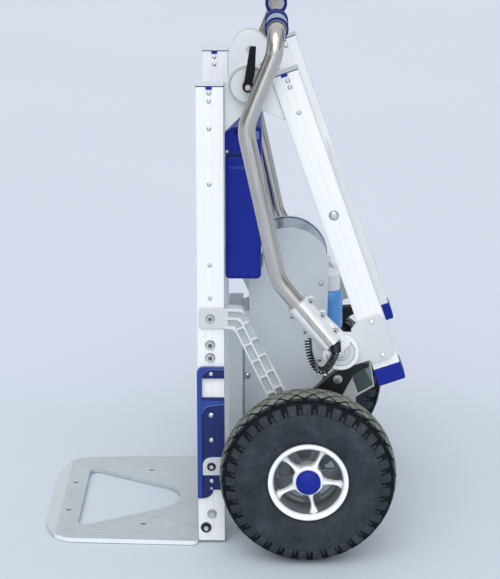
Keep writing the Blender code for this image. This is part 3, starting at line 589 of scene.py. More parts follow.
def rail_top(name, side, body, place, side_name):
    """Pale cap with a navy seam under it, and a blue tab on each wide face."""
    half = RAIL_DEPTH / 2
    for part, outline, y, finish in (
            ("seam", ((0.0001, half + 0.0002), (0.0015, half + 0.0002)),
             (RAIL_INNER - 0.0002, RAIL_OUTER + 0.0002), "guard_blue"),
            ("cap", ((0.0014, half), (0.0022, half)), (RAIL_INNER, RAIL_OUTER), "cap_pale")):
        (low, reach), (high, _) = outline
        corners = [place(low, -reach), place(low, reach), place(high, reach), place(high, -reach)]
        bevel(plate(f"{name}_{part}_{side_name}", corners, mirror(y, side), finish, body), 0.0003)
    for face, y in (("outer", (RAIL_OUTER + 0.0002, RAIL_OUTER + 0.0014)),
                    ("inner", (RAIL_INNER - 0.0014, RAIL_INNER - 0.0002))):
        corners = [place(-0.0038, -0.0055), place(-0.0038, 0.0035), place(0.0014, 0.0035),
                   place(0.0014, -0.0055)]
        bevel(plate(f"{name}_tab_{face}_{side_name}", corners, mirror(y, side), "blue_plastic",
                    body), 0.0004)


def lower_rails():
    x = RAIL_MID - 0.0010
    for name, side in SIDES:
        y = mirror((RAIL_INNER, RAIL_OUTER), side)
        flat_prism(f"rail_extrusion_{name}", rail_section(RAIL_MID, *y, RAIL_DEPTH),
                   (RAIL_LOW.z, RAIL_HIGH.z), "rail_white", "root", 25,
                   cad=f"lower_rail_{name}", slot="rail_white")
        rail_top("lower_top", side, "root",
                 lambda up, across: (RAIL_MID + across, RAIL_HIGH.z + up), name)
        for index, z in enumerate((0.6870, 0.6755, 0.6359, 0.5547, 0.4345, 0.3844)):
            dome(f"rail_screw_{name}_{index}", x, z, RAIL_OUTER, side, 0.0028, 0.0012)
        for index, z in enumerate((0.6870, 0.6755)):
            dome(f"rail_inner_screw_{name}_{index}", x, z, -RAIL_INNER, -side, 0.0028, 0.0010)
        for index, z in enumerate((0.3131, 0.2935)):
            screw(f"rail_bolt_{name}_{index}", RAIL_MID - 0.0008, z, RAIL_OUTER, side, 0.0062,
                  height=0.0040)
        hex_bolt(f"foot_bolt_{name}", RAIL_MID + 0.0005, 0.0460, RAIL_OUTER, side, 0.0048)
        screw(f"foot_screw_{name}", RAIL_MID - 0.0085, 0.0240, RAIL_OUTER, side, 0.0073,
              finish="black_plastic", height=0.0045)


def slide_guards():
    """Blue guards: a navy base, a raised front rib that arches over at the top and below
    the window, screws on bosses, and a light patch with a black bolt."""
    low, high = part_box("slide_guard_left")
    x0, x1, top, foot = low.x, high.x, high.z, low.z
    base_y, rim_y = RAIL_OUTER + 0.0030, RAIL_OUTER + 0.0067
    rooted = base_y - 0.001
    rib = x0 + 0.0073
    quarter = (0.0, 0.25, 0.5, 0.75, 1.0, 1.25, math.pi / 2)
    upper = [(rib + 0.0162 * (1 - math.cos(a)), 0.2631 + 0.0141 * math.sin(a)) for a in quarter]
    lower = [(rib + 0.0177 * (1 - math.cos(a)), 0.2090 + 0.0125 * math.sin(a)) for a in quarter]
    bottom = [(rib + 0.0161 * math.sin(a), foot + 0.0007 + 0.0141 * (1 - math.cos(a)))
              for a in (0.0, 0.3, 0.6, 0.9, 1.2, math.pi / 2)]
    top_corner = arc((x0 + 0.009, top - 0.009), 0.009, 90, 180, 8)
    outline = ([(x1, 0.2630), (x1, top)] + top_corner + [(x0, foot + 0.0007)] + bottom
               + [(x1, 0.0860), (x1, 0.2320), (rib, 0.2320), (rib, 0.2630)])
    strip = [(x0, 0.0745), (rib, 0.0745)] + upper + [(x1, 0.2772), (x1, top)] + top_corner
    shelf = ([(rib - 0.001, 0.2285), (rib - 0.001, 0.2090)] + lower
             + [(x1, 0.2230), (x1, 0.2285)])
    patch = ([(rib + 0.0005, 0.1102), (rib + 0.0005, 0.1265)]
             + [(-0.0136 - 0.0138 * math.cos(a), 0.1265 + 0.0119 * math.sin(a))
                for a in (0.3, 0.6, 0.9, 1.2, math.pi / 2)] + [(x1, 0.1384), (x1, 0.1102)])
    for name, side in SIDES:
        plate(f"guard_base_{name}", outline, mirror((RAIL_OUTER + 0.0003, base_y), side),
              "guard_blue", "root", cad=f"slide_guard_{name}", slot="blue_plastic")
        for part, shape, y_top, edge in (("front_rib", strip, rim_y, 0.0007),
                                         ("shelf", shelf, rim_y - 0.0004, 0.0006)):
            bevel(plate(f"guard_{part}_{name}", shape, mirror((rooted, y_top), side),
                        "guard_rim", "root"), edge)
        # A thin lighter blue strip along the edge of each arch: a painted highlight.
        for level, curve, end_z in (("upper", upper, 0.2772), ("lower", lower, 0.2230)):
            line = curve + [(x1, end_z)]
            edge = line + [(x, z - 0.0011) for x, z in reversed(line)]
            edge[-1] = (edge[-1][0] + 0.0011, edge[-1][1])
            plate(f"guard_edge_{level}_{name}", edge, mirror((rooted, rim_y - 0.0009), side),
                  "painted_highlight_blue", "root")
        for index, z in enumerate((0.2640, 0.2300)):
            y = sorted(mirror((rooted, rim_y - 0.0012), side))
            block(f"guard_window_bar_{name}_{index}", (rib - 0.0005, y[0], z - 0.0012),
                  (x1, y[1], z + 0.0014), "guard_blue", "root")
        for index, (x, z, r) in enumerate(((-0.0143, 0.2694, 0.0030), (-0.0144, 0.2052, 0.0034),
                                           (-0.0141, 0.1658, 0.0032), (-0.0140, 0.1007, 0.0030),
                                           (-0.0145, 0.0888, 0.0020))):
            boss_y = base_y + 0.0012
            turned(f"guard_boss_{name}_{index}", disc(r * 1.7, rooted, boss_y), (x, z),
                   "guard_blue", "root", 24, 30, side)
            dome(f"guard_screw_{name}_{index}", x, z, boss_y, side, r, 0.0014)
        patch_y = base_y + 0.0024
        bevel(plate(f"guard_patch_{name}", patch, mirror((rooted, patch_y), side), "plate_white",
                    "root"), 0.0005)
        screw(f"guard_patch_bolt_{name}", -0.0145, 0.1240, patch_y, side, 0.0060,
              finish="black_plastic", height=0.0024)


def cone(name, low_radius, high_radius, depth, middle, finish=None, body=None, smooth=35):
    bm = bmesh.new()
    bmesh.ops.create_cone(bm, cap_ends=True, segments=24, radius1=low_radius,
                          radius2=high_radius, depth=depth)
    bmesh.ops.translate(bm, vec=middle, verts=bm.verts)
    return add(name, bm, finish, body, smooth)


def toe_plate():
    """A tapering blade that thins towards its tip, with a round-tipped triangular window,
    countersunk screws, and the wall and cheeks that stand between the rails."""
    low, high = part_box("toe_plate")
    thick, heel, tip, half = 0.007, RAIL_LOW.x - 0.0003, low.x, high.y
    tip_half, bevel_x = half - 0.011, -0.2525
    outline = rounded([(heel, -half, 0.009), (-0.250, -tip_half, 0.042), (tip, -0.110, 0.120),
                       (tip, 0.110, 0.120), (-0.250, tip_half, 0.042), (heel, half, 0.009)], 12)
    blade = flat_prism("toe_blade", outline, (low.z, low.z + thick), "toe_aluminium", "root",
                       cad="toe_plate", slot="toe_aluminium")
    inside = RAIL_INNER - 0.0003
    wall = RAIL_LOW.x + 0.0002
    join(blade, block("toe_tongue_tool", (heel - 0.004, -inside, low.z),
                      (wall + 0.004, inside, low.z + thick)))
    join(blade, block("toe_wall_tool", (wall, -inside, low.z), (wall + thick, inside, high.z)))
    for side in (-1, 1):
        y = sorted(mirror((inside - 0.0035, inside), side))
        join(blade, block("toe_cheek_tool", (wall + 0.002, y[0], low.z),
                          (-0.0140, y[1], high.z - 0.002)))
    window = rounded([(-0.2220, -0.1243, 0.012), (-0.0120, 0.0, 0.059),
                      (-0.2220, 0.1243, 0.012)], 14)
    cut(blade, flat_prism("toe_window_tool", window, (-0.01, thick + 0.01)))
    wedge = [(bevel_x, thick + 0.0002), (tip - 0.003, 0.0030), (tip - 0.003, 0.03),
             (bevel_x, 0.03)]
    cut(blade, plate("toe_wedge_tool", wedge, (-0.2, 0.2)))
    for index, (x, y) in enumerate(((-0.121, 0.111), (-0.121, -0.111), (-0.241, 0.057),
                                    (-0.241, -0.057))):
        cut(blade, cone("toe_hole_tool", 0.0022, 0.0046, 0.006, (x, y, thick - 0.0028)))
        cone(f"toe_screw_{index}", 0.0020, 0.0038, 0.0040, (x, y, thick - 0.0032), "dark_metal",
             "root", 30)
    # The blade's side edges take a much lighter finish: a painted highlight along them.
    blade.data.materials.append(MATERIALS["toe_edge_painted_highlight"])
    blade.data.materials.append(MATERIALS["toe_bevel"])
    for polygon in blade.data.polygons:
        if abs(polygon.normal.z) < 0.3 and abs(polygon.center.y) > 0.150:
            polygon.material_index = 1
        elif polygon.normal.z < 0.995 and polygon.center.x < bevel_x:
            polygon.material_index = 2
    bevel(blade, 0.0009, 2, 50)


def axle_arms():
    """Cast arms: a flat lug on the rail, and a ribbed web with two rows of pockets."""
    outer, inner = RAIL_OUTER + 0.0062, RAIL_OUTER - 0.014
    floor_y = outer - 0.0056
    row_shift, channel_half, clear_of_axle = 0.0064, 0.0047, 0.038
    first_pocket, pocket_pitch, pocket_half, pocket_half_width = 0.0120, 0.0272, 0.0124, 0.0049
    bend = Vector((0.0282, 0.3560))
    direction = (Vector((0.1300, 0.1330)) - bend).normalized()
    across = Vector((direction.y, -direction.x))
    web = rounded([(RAIL_HIGH.x + 0.0003, 0.3707, 0), (0.0316, 0.3707, 0.010),
                   (0.1495, 0.1390, 0), (0.1100, 0.1220, 0), (0.0686, 0.2359, 0),
                   (0.0200, 0.3397, 0.014), (RAIL_HIGH.x + 0.0003, 0.3397, 0)])
    lug = rounded([(-0.0312, 0.3707, 0.004), (0.0120, 0.3707, 0), (0.0120, 0.3397, 0),
                   (-0.0312, 0.3397, 0.004)])
    for name, side in SIDES:
        arm = plate(f"arm_casting_{name}", web, mirror((inner, outer), side), "rib_white", "root",
                    cad=f"axle_arm_{name}", slot="cast_grey")
        depth = mirror((floor_y, outer + 0.005), side)
        join(arm, turned("arm_boss_tool", disc(0.0225, inner, outer), AXLE, steps=48, side=side))
        cut(arm, turned("arm_bore_tool", disc(BORE_R, inner - 0.01, outer + 0.01), AXLE,
                        steps=40, side=side))
        for row, shift in enumerate((-row_shift, row_shift)):
            for index in range(7):
                start = first_pocket + pocket_pitch * index + (0.004 if row else 0)
                middle = bend + direction * (start + 0.0120) + across * shift
                if (middle - Vector(AXLE)).length < clear_of_axle:
                    continue
                corners = []
                for a, b in ((-1, -1), (1, -1), (1, 1), (-1, 1)):
                    p = middle + direction * (pocket_half * a) + across * (pocket_half_width * b)
                    corners.append((p.x, p.y, 0.0016))
                cut(arm, plate("arm_pocket_tool", rounded(corners, 3), depth))
        for shift, reach in ((-row_shift, 0.0088), (row_shift, 0.0128)):
            level = 0.3552 - shift
            along = (level - bend.y - across.y * shift) / direction.y
            corner = bend + across * shift + direction * along
            end = bend + across * shift + direction * reach
            path = bent_path([(RAIL_HIGH.x + 0.0025, 0, level, 0),
                              (corner.x, 0, corner.y, 0.0100 - shift * 0.5),
                              (end.x, 0, end.y, 0)], 6)
            left, right = [], []
            for index, point in enumerate(path):
                step = heading(path, index) * channel_half
                left.append((point.x - step.z, point.z + step.x))
                right.append((point.x + step.z, point.z - step.x))
            cut(arm, plate("arm_pocket_tool", left + right[::-1], depth))
        # The pocket floors take the darker cast_grey: painted shade in the pockets.
        arm.data.materials.append(MATERIALS["cast_grey"])
        for polygon in arm.data.polygons:
            if abs(polygon.normal.y) > 0.9 and abs(abs(polygon.center.y) - floor_y) < 0.0005:
                polygon.material_index = 1
        bevel(arm, 0.0004, 2)
        bevel(plate(f"arm_lug_{name}", lug, mirror((RAIL_OUTER + 0.0003, RAIL_OUTER + 0.0050), side),
                    "lug_grey", "root"), 0.0010)
        screw(f"arm_bolt_{name}", RAIL_MID - 0.0005, 0.3550, RAIL_OUTER + 0.0050, side, 0.0058,
              height=0.0034)


# ---------------------------------------------------------------- drive unit and battery

def housing():
    low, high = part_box("housing_side_left")
    outer = -low.y
    sheet = high.y - low.y
    front, rear = 0.0400, high.x
    crown = ((front + rear) / 2, 0.3970)
    crown_r = (rear - front) / 2
    battery_low, battery_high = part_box("battery_case")
    clear_x, shelf_z = battery_high.x + 0.0015, battery_low.z - 0.0030
    last = math.degrees(math.acos((clear_x - crown[0]) / crown_r))
    outline = arc(crown, crown_r, 0, last, 40) + rounded(
        [(clear_x, shelf_z, 0), (front, shelf_z, 0.003), (front, 0.3263, 0),
         (0.0330, 0.3263, 0.004), (0.0330, 0.0500, 0.010), (0.0580, 0.0500, 0),
         (0.0580, 0.1700, 0.004), (0.1360, 0.1700, 0.004), (rear, 0.2380, 0.010)])
    for name, side in SIDES:
        side_plate = plate(f"side_cover_{name}", outline, mirror((outer - sheet, outer), side),
                           "housing_grey", "root", 20, cad=f"housing_side_{name}",
                           slot="housing_grey")
        bevel(side_plate, 0.0012, 3)
        screws = ((0.0378, 0.2223, 0.0045), (0.0378, 0.2950, 0.0034), (0.1480, 0.2480, 0.0034),
                  (0.1500, 0.3700, 0.0034), (0.0378, 0.1500, 0.0034), (0.0378, 0.0700, 0.0034))
        for index, (x, z, r) in enumerate(screws):
            dome(f"cover_screw_{name}_{index}", x, z, outer, side, r, 0.0018)
    inner = outer - sheet - 0.0003
    inset, wall = 0.0015, 0.003
    outer_band = arc(crown, crown_r - inset, 0, last, 40)
    inner_band = arc(crown, crown_r - inset - wall, last - 3, 0, 40)
    band = (outer_band + [(outer_band[-1][0], shelf_z + 0.006),
                          (inner_band[0][0], shelf_z + 0.006)]
            + inner_band + [(rear - inset - wall, 0.2450), (rear - inset, 0.2450)])
    plate("wrap_cover", band, (-inner, inner), "wrap_glossy", "root", 20,
          cad="housing_wrap", slot="housing_grey")
    rim_out, rim_in = crown_r - inset + 0.0007, crown_r - inset - 0.0006
    edge_band = arc(crown, rim_out, 0, last, 40) + arc(crown, rim_in, last, 0, 40)
    for name, side in SIDES:
        plate(f"wrap_edge_{name}", edge_band, mirror((inner - 0.0016, inner - 0.0002), side),
              "guard_blue", "root", 20)
    chassis_low, chassis_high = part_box("chassis_box")
    bevel(block("chassis_cover", chassis_low, chassis_high, "housing_grey", "root",
                cad="chassis_box", slot="housing_grey"), 0.002, 3)
    block("chassis_rear_wall", (chassis_high.x - 0.004, -inner, 0.0520),
          (chassis_high.x + 0.0080, inner, 0.3250), "housing_grey", "root")


def motor():
    """Light-blue can with a white collar, a foot and a drive stub."""
    low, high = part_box("drive_motor")
    radius = 0.0225
    x, y = 0.1645, high.y - radius
    profile = [(0, 0.2462), (0.010, 0.2462), (0.010, 0.2640), (radius - 0.003, 0.2655),
               (radius - 0.0005, 0.2720), (radius, 0.2890), (radius, 0.3180),
               (radius - 0.0010, 0.3245), (radius - 0.004, 0.3298), (radius - 0.007, 0.3320),
               (0, 0.3325)]
    upright("motor_can", profile, (x, y), "motor_blue", cad="drive_motor",
            slot="motor_blue")
    collar = [(0, 0.3315), (0.0178, 0.3322), (0.0180, 0.3335), (0.0180, 0.3540),
              (0.0172, 0.3544), (0.0172, 0.3554), (0.0182, 0.3558), (0.0182, 0.3580),
              (0.0150, 0.3620), (0, 0.3620)]
    upright("motor_collar", collar, (x, y), "collar_white")
    foot = block("motor_foot", (low.x, low.y, low.z), (0.1900, 0.0780, 0.2470), "dark_metal",
                 "root")
    bevel(foot, 0.0015)
    for index, angle in enumerate((45, 135, 225, 315)):
        a = math.radians(angle)
        upright(f"motor_stud_{index}", disc(0.0030, 0.2465, 0.2505),
                (x + 0.0165 * math.cos(a), y + 0.0120 * math.sin(a)), "zinc", steps=6)


def struts_and_bumper():
    outline = rounded([(0.1330, 0.2330, 0.002), (0.1630, 0.2610, 0.006), (0.1900, 0.2800, 0.006),
                       (0.2035, 0.2810, 0.006), (0.2195, 0.2790, 0.002), (0.2180, 0.2735, 0.002),
                       (0.2080, 0.2690, 0.006), (0.1959, 0.2610, 0.006), (0.1805, 0.2299, 0.004),
                       (0.1480, 0.1200, 0.010), (0.1120, 0.1200, 0.010)])
    for name, side in SIDES:
        low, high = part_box(f"rest_strut_{name}")
        strut = plate(f"strut_{name}", outline, (low.y, high.y), "black_plastic", "root",
                      cad=f"rest_strut_{name}", slot="black_plastic")
        near, far = y_extent(f"rest_strut_{name}")
        cut(strut, turned("strut_bore_tool", disc(BORE_R, near - 0.01, far + 0.01), AXLE,
                          steps=40, side=side))
        bevel(strut, 0.0010)
        dome(f"strut_bolt_{name}", 0.1730, 0.2550, far, side, 0.0062, 0.0030)
    low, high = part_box("rubber_bumper")
    corners = rounded([(0.2070, 0.2113, 0.002), (0.2292, 0.2245, 0.002), (0.2156, 0.2494, 0.002),
                       (0.1984, 0.2367, 0.002)])
    bumper = plate("bumper_block", corners, (low.y, high.y), "bumper_rubber", "root",
                   cad="rubber_bumper", slot="rubber")
    bevel(bumper, 0.0015, 3)
    mount_low, mount_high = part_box("bumper_mount")
    back = mount_low.x
    shelf = [(back, 0.2285), (back, 0.2070), (0.2040, 0.2050), (0.2087, 0.2085),
             (0.2309, 0.2217), (0.2293, 0.2242), (0.2072, 0.2110), (0.2062, 0.2111),
             (0.2003, 0.2285)]
    plate("bumper_bracket", shelf, (mount_low.y, mount_high.y), "lug_grey", "root",
          cad="bumper_mount", slot="cast_grey")
    for name, side in SIDES:
        cheek = rounded([(0.1760, 0.2060, 0.001), (0.2030, 0.2040, 0.001), (0.2030, 0.1900, 0.003),
                         (0.1760, 0.1900, 0.003)])
        bevel(plate(f"bumper_cheek_{name}", cheek, mirror((0.0800, 0.0840), side), "lug_grey",
                    "root"), 0.0006)
        screw(f"bumper_bolt_{name}", 0.1940, 0.1965, 0.0840, side, 0.0036, height=0.0020)


def battery():
    low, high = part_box("battery_case")
    lid_low, lid_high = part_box("battery_lid")
    half = high.y
    case = block("battery_shell", low, high, "blue_plastic", "root",
                 cad="battery_case", slot="blue_plastic")
    bevel(case, 0.0065, 5)
    wall = 0.003
    cut(case, block("shell_hollow_tool", (low.x + wall, -half + wall, low.z + wall),
                    (high.x - wall, half - wall, high.z + 0.02)))
    # A lighter blue band across each side, a little below the lid seam: a painted highlight.
    for name, side in SIDES:
        y = sorted(mirror((half - 0.001, half + 0.0003), side))
        block(f"shell_painted_highlight_{name}", (low.x + 0.006, y[0], high.z - 0.0206),
              (high.x - 0.006, y[1], high.z - 0.0170), "guard_rim", "root")
    outline = rounded([(lid_low.x, lid_low.z, 0), (lid_high.x, lid_low.z, 0.001),
                       (lid_high.x, lid_high.z, 0.004), (lid_low.x + 0.0115, lid_high.z, 0.002),
                       (lid_low.x, lid_high.z - 0.008, 0.002)])
    lid = plate("battery_cover", outline, (-half, half), "blue_plastic", "root",
                cad="battery_lid", slot="blue_plastic")
    for index in range(2):
        z = lid_high.z - 0.0045 - 0.0040 * index
        for y_low, y_high in ((-half - 0.01, -half + 0.006), (half - 0.006, half + 0.01)):
            cut(lid, block("vent_tool", (0.0200, y_low, z - 0.0012), (0.0285, y_high, z + 0.0012)))
    recess = rounded([(0.0160, -0.060, 0.006), (0.0500, -0.060, 0.006), (0.0500, 0.060, 0.006),
                      (0.0160, 0.060, 0.006)])
    cut(lid, flat_prism("handle_recess_tool", recess, (lid_high.z - 0.016, lid_high.z + 0.01)))
    for name, side in SIDES:
        latch_low, latch_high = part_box(f"battery_latch_{name}")
        y = sorted(mirror((half - 0.007, half + 0.01), side))
        cut(lid, block("latch_pocket_tool", (latch_low.x - 0.0005, y[0], latch_low.z - 0.0005),
                       (latch_high.x + 0.0005, y[1], latch_high.z + 0.0005)))
        # The latch keys' light blue is partly their own colour and partly a painted highlight.
        latch = block(f"latch_key_{name}", latch_low, latch_high, "painted_highlight_blue",
                      f"battery_latch_{name}", cad=f"battery_latch_{name}",
                      slot="plate_white")
        bevel(latch, 0.0010)
        dome(f"lid_screw_{name}", 0.0090, 0.5930, half, side, 0.0022, 0.0008)
    bevel(lid, 0.0022, 3, 50)
    bar = [(0.0330, y, lid_high.z - drop) for y, drop in ((-0.0590, 0.010), (-0.0300, 0.0055),
                                                          (0.0300, 0.0055), (0.0590, 0.010))]
    tube("battery_handle", smooth_path(bar, 0.004), 0.0045, "black_plastic", "root", 16)
    block("battery_seam", (low.x + 0.0012, -half + 0.0012, high.z - 0.001),
          (high.x - 0.0012, half - 0.0012, lid_low.z + 0.001), "black_plastic", "root")


def finish_cad_nodes():
    """Nodes that keep their CAD shape are given a material."""
    finishes = {"cross_bar": "rail_white", "upper_cross_bar": "rail_tilted",
                "climb_gear": "dark_metal", "motor_pinion": "dark_metal",
                "gear_case": "inner_grey", "climb_shaft": "zinc", "wheel_axle": "zinc",
                "climb_arm_left": "cast_grey", "climb_arm_right": "cast_grey",
                "battery_pack": "black_plastic"}
    for node, finish in finishes.items():
        materials = frame["nodes"][node].data.materials
        materials.clear()
        materials.append(MATERIALS[finish])


def climbing_rollers():
    for name, side in SIDES:
        low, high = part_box(f"climb_roller_{name}")
        near, far = y_extent(f"climb_roller_{name}")
        radius, edge = (high.z - low.z) / 2, 0.004
        profile = [(0.0065, near), (0.0200, near), (0.0210, near + 0.003), (0.0250, near + 0.003),
                   (0.0260, near), (radius - edge, near), (radius, near + edge),
                   (radius, far - edge), (radius - edge, far), (0.0260, far),
                   (0.0250, far - 0.003), (0.0210, far - 0.003), (0.0200, far), (0.0065, far)]
        bevel(turned(f"roller_{name}", profile, ROLLER_PIN, "roller_cream",
                     f"climb_roller_{name}", 56, 30, side, cad=f"climb_roller_{name}",
                     slot="roller_cream"), 0.0008)


# ---------------------------------------------------------------- fold hinge

def hinge():
    radius = 0.028
    lower = ([(RAIL_HIGH.x + 0.0003, 0.6270)] + arc(HINGE, radius, -56, 150, 40)
             + [(RAIL_HIGH.x + 0.0003, 0.6940)])
    along = Vector((math.sin(TILT), -math.cos(TILT)))
    across = Vector((-math.cos(TILT), -math.sin(TILT)))
    face = Vector(UPPER_TOP) + across * (RAIL_DEPTH / 2 + 0.0003)
    upper = ([tuple(face + along * 0.004)] + arc(HINGE, radius, 50, 256, 40)
             + [tuple(face + along * 0.064)])
    for name, side in SIDES:
        for level, outline, body in (("lower", lower, "root"), ("upper", upper, "upper_frame")):
            low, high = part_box(f"hinge_plate_{level}_{name}")
            # The hinge plates take the lighter copy of the white: painted light.
            bevel(plate(f"gusset_{level}_{name}", outline, (low.y, high.y), "gusset_white_painted_light", body,
                        cad=f"hinge_plate_{level}_{name}", slot="plate_white"),
                  0.0012, 3)
        ring = [(0, 0.1340), (0.0058, 0.1340), (0.0058, 0.1608), (radius, 0.1608),
                (radius, 0.1672), (radius - 0.0008, 0.1684), (radius - 0.0020, 0.1684),
                (radius - 0.0026, 0.1672), (0, 0.1674)]
        turned(f"hinge_ring_{name}", ring, HINGE, "cast_grey", "root", 72, 30, side,
               cad=f"hinge_disc_{name}", slot="cast_grey")
        face_disc = [(0, 0.1668), (radius - 0.0030, 0.1668), (radius - 0.0036, 0.1690),
                     (0.0095, 0.1692), (0, 0.1692)]
        turned(f"hinge_face_{name}", face_disc, HINGE, "plate_white", "root", 64, 30, side)
        stud = [(0, 0.1690), (0.0034, 0.1690), (0.0034, 0.1845), (0.0042, 0.1845),
                (0.0042, 0.1868), (0.0034, 0.1878), (0, 0.1880)]
        turned(f"hinge_stud_{name}", stud, HINGE, "screw_beige", "root", 24, 30, side)
        lever(name, side)
        dome(f"gusset_screw_{name}", HINGE[0], HINGE[1] + 0.0220, 0.1480, side, 0.0028, 0.0005)


def lever(name, side):
    """Tapered black lever with a round, bored hub. The far one hangs down."""
    body = f"clamp_lever_{name}"
    hub = [(0.0045, 0.1703), (0.0078, 0.1703), (0.0078, 0.1822), (0.0068, 0.1835),
           (0.0045, 0.1835)]
    turned(f"lever_{name}", hub, HINGE, "lever_black", body, 40, 30, side,
           cad=f"clamp_lever_{name}", slot="black_plastic")
    arm = rounded([(HINGE[0] - 0.0055, HINGE[1] + 0.0062, 0),
                   (HINGE[0] + 0.0060, HINGE[1] + 0.0055, 0),
                   (HINGE[0] + 0.0098, HINGE[1] + 0.0220, 0.008), (0.0517, 0.7563, 0.0015),
                   (0.0430, 0.7563, 0.0015)])
    if side > 0:
        arm = [(2 * HINGE[0] - x, 2 * HINGE[1] - z) for x, z in arm]
    bevel(plate(f"lever_arm_{name}", arm, mirror((0.1745, 0.1825), side), "lever_black", body),
          0.0012, 3)


# ---------------------------------------------------------------- upper frame

def upper_frame():
    body = "upper_frame"
    cap_start = UPPER_LENGTH - END_CAP
    length = cap_start - 0.0003
    for name, side in SIDES:
        y = mirror((RAIL_INNER, RAIL_OUTER), side)
        section = rail_section(0.0, *y, RAIL_DEPTH)
        bm = extruded([(across, depth, 0) for across, depth in section], (0, 0, -length))
        for vert in bm.verts:
            x, z = along_rail(-vert.co.z, vert.co.x)
            vert.co = (x, vert.co.y, z)
        add(f"upper_extrusion_{name}", bm, "rail_tilted", body, 25,
            cad=f"upper_rail_{name}", slot="rail_white")
        rail_top("upper_top", side, body, lambda up, across: along_rail(-up, across), name)
        half = RAIL_DEPTH / 2 + 0.0010
        end = rounded([(*along_rail(cap_start, -half), 0.0015),
                       (*along_rail(cap_start, half), 0.0015),
                       (*along_rail(UPPER_LENGTH, half), 0.003),
                       (*along_rail(UPPER_LENGTH, -half), 0.003)])
        bevel(plate(f"foot_cap_{name}", end,
                    mirror((RAIL_INNER - 0.0015, RAIL_OUTER + 0.0002), side), "blue_plastic", body,
                    cad=f"end_cap_{name}", slot="blue_plastic"), 0.0018, 3)
        for index, distance in enumerate((0.0105, 0.0200, 0.0590)):
            dome(f"upper_screw_{name}_{index}", *along_rail(distance, 0.001), RAIL_OUTER, side,
                 0.0028, 0.0012, body)
        dome(f"upper_inner_screw_{name}", *along_rail(0.0105, 0.001), -RAIL_INNER, -side, 0.0028,
             0.0010, body)
        dome(f"upper_bolt_{name}", *along_rail(0.2175), RAIL_OUTER, side, 0.0062, 0.0030, body)
        pivot_plate(name, side, body)


def pivot_plate(name, side, body):
    spine = rounded([(0.1893, 0.3382, 0.006), (0.1993, 0.3504, 0.008), (0.2312, 0.3627, 0.008),
                     (0.2401, 0.3550, 0.006), (0.2551, 0.3078, 0.006), (0.2501, 0.2966, 0.006),
                     (0.2224, 0.2863, 0.008)], 5)
    outline = spine + arc(PIVOT, 0.0285, -58, -285, 40)
    layer = (RAIL_OUTER + 0.0007, RAIL_OUTER + 0.0055)
    bevel(plate(f"pivot_gusset_{name}", outline, mirror(layer, side), "plate_white", body,
                cad=f"pivot_plate_{name}", slot="plate_white"), 0.0010, 3)
    for index, (x, z) in enumerate(((0.2204, 0.3511), (0.2374, 0.3003))):
        dome(f"gusset_bolt_{name}_{index}", x, z, layer[1], side, 0.0033, 0.0010, body,
             "satin_silver")


# ---------------------------------------------------------------- handles

def handles():
    for name, side in SIDES:
        body = f"handle_{name}"
        y = HANDLE_Y * side
        low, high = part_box(f"grip_{name}")
        grip_x, grip_z = (low.x + high.x) / 2, (low.z + high.z) / 2
        corners = [(SLEEVE_END[0], y, SLEEVE_END[1], 0), (0.0845, y, 0.4190, 0.060),
                   (0.0362, y, 0.6430, 0.060),
                   (TUBE_BEND[0], y, TUBE_BEND[1], 0.030), (grip_x, y, grip_z, 0.0250),
                   (grip_x, (HANDLE_Y - 0.1080) * side, grip_z, 0)]
        tube(f"bent_tube_{name}", bent_path(corners), TUBE_R, "steel", body, 40,
             cad=f"handle_tube_{name}", slot="steel")
        clamp(name, side, body)
        grip(name, side, body, (grip_x, grip_z), *y_extent(f"grip_{name}"))


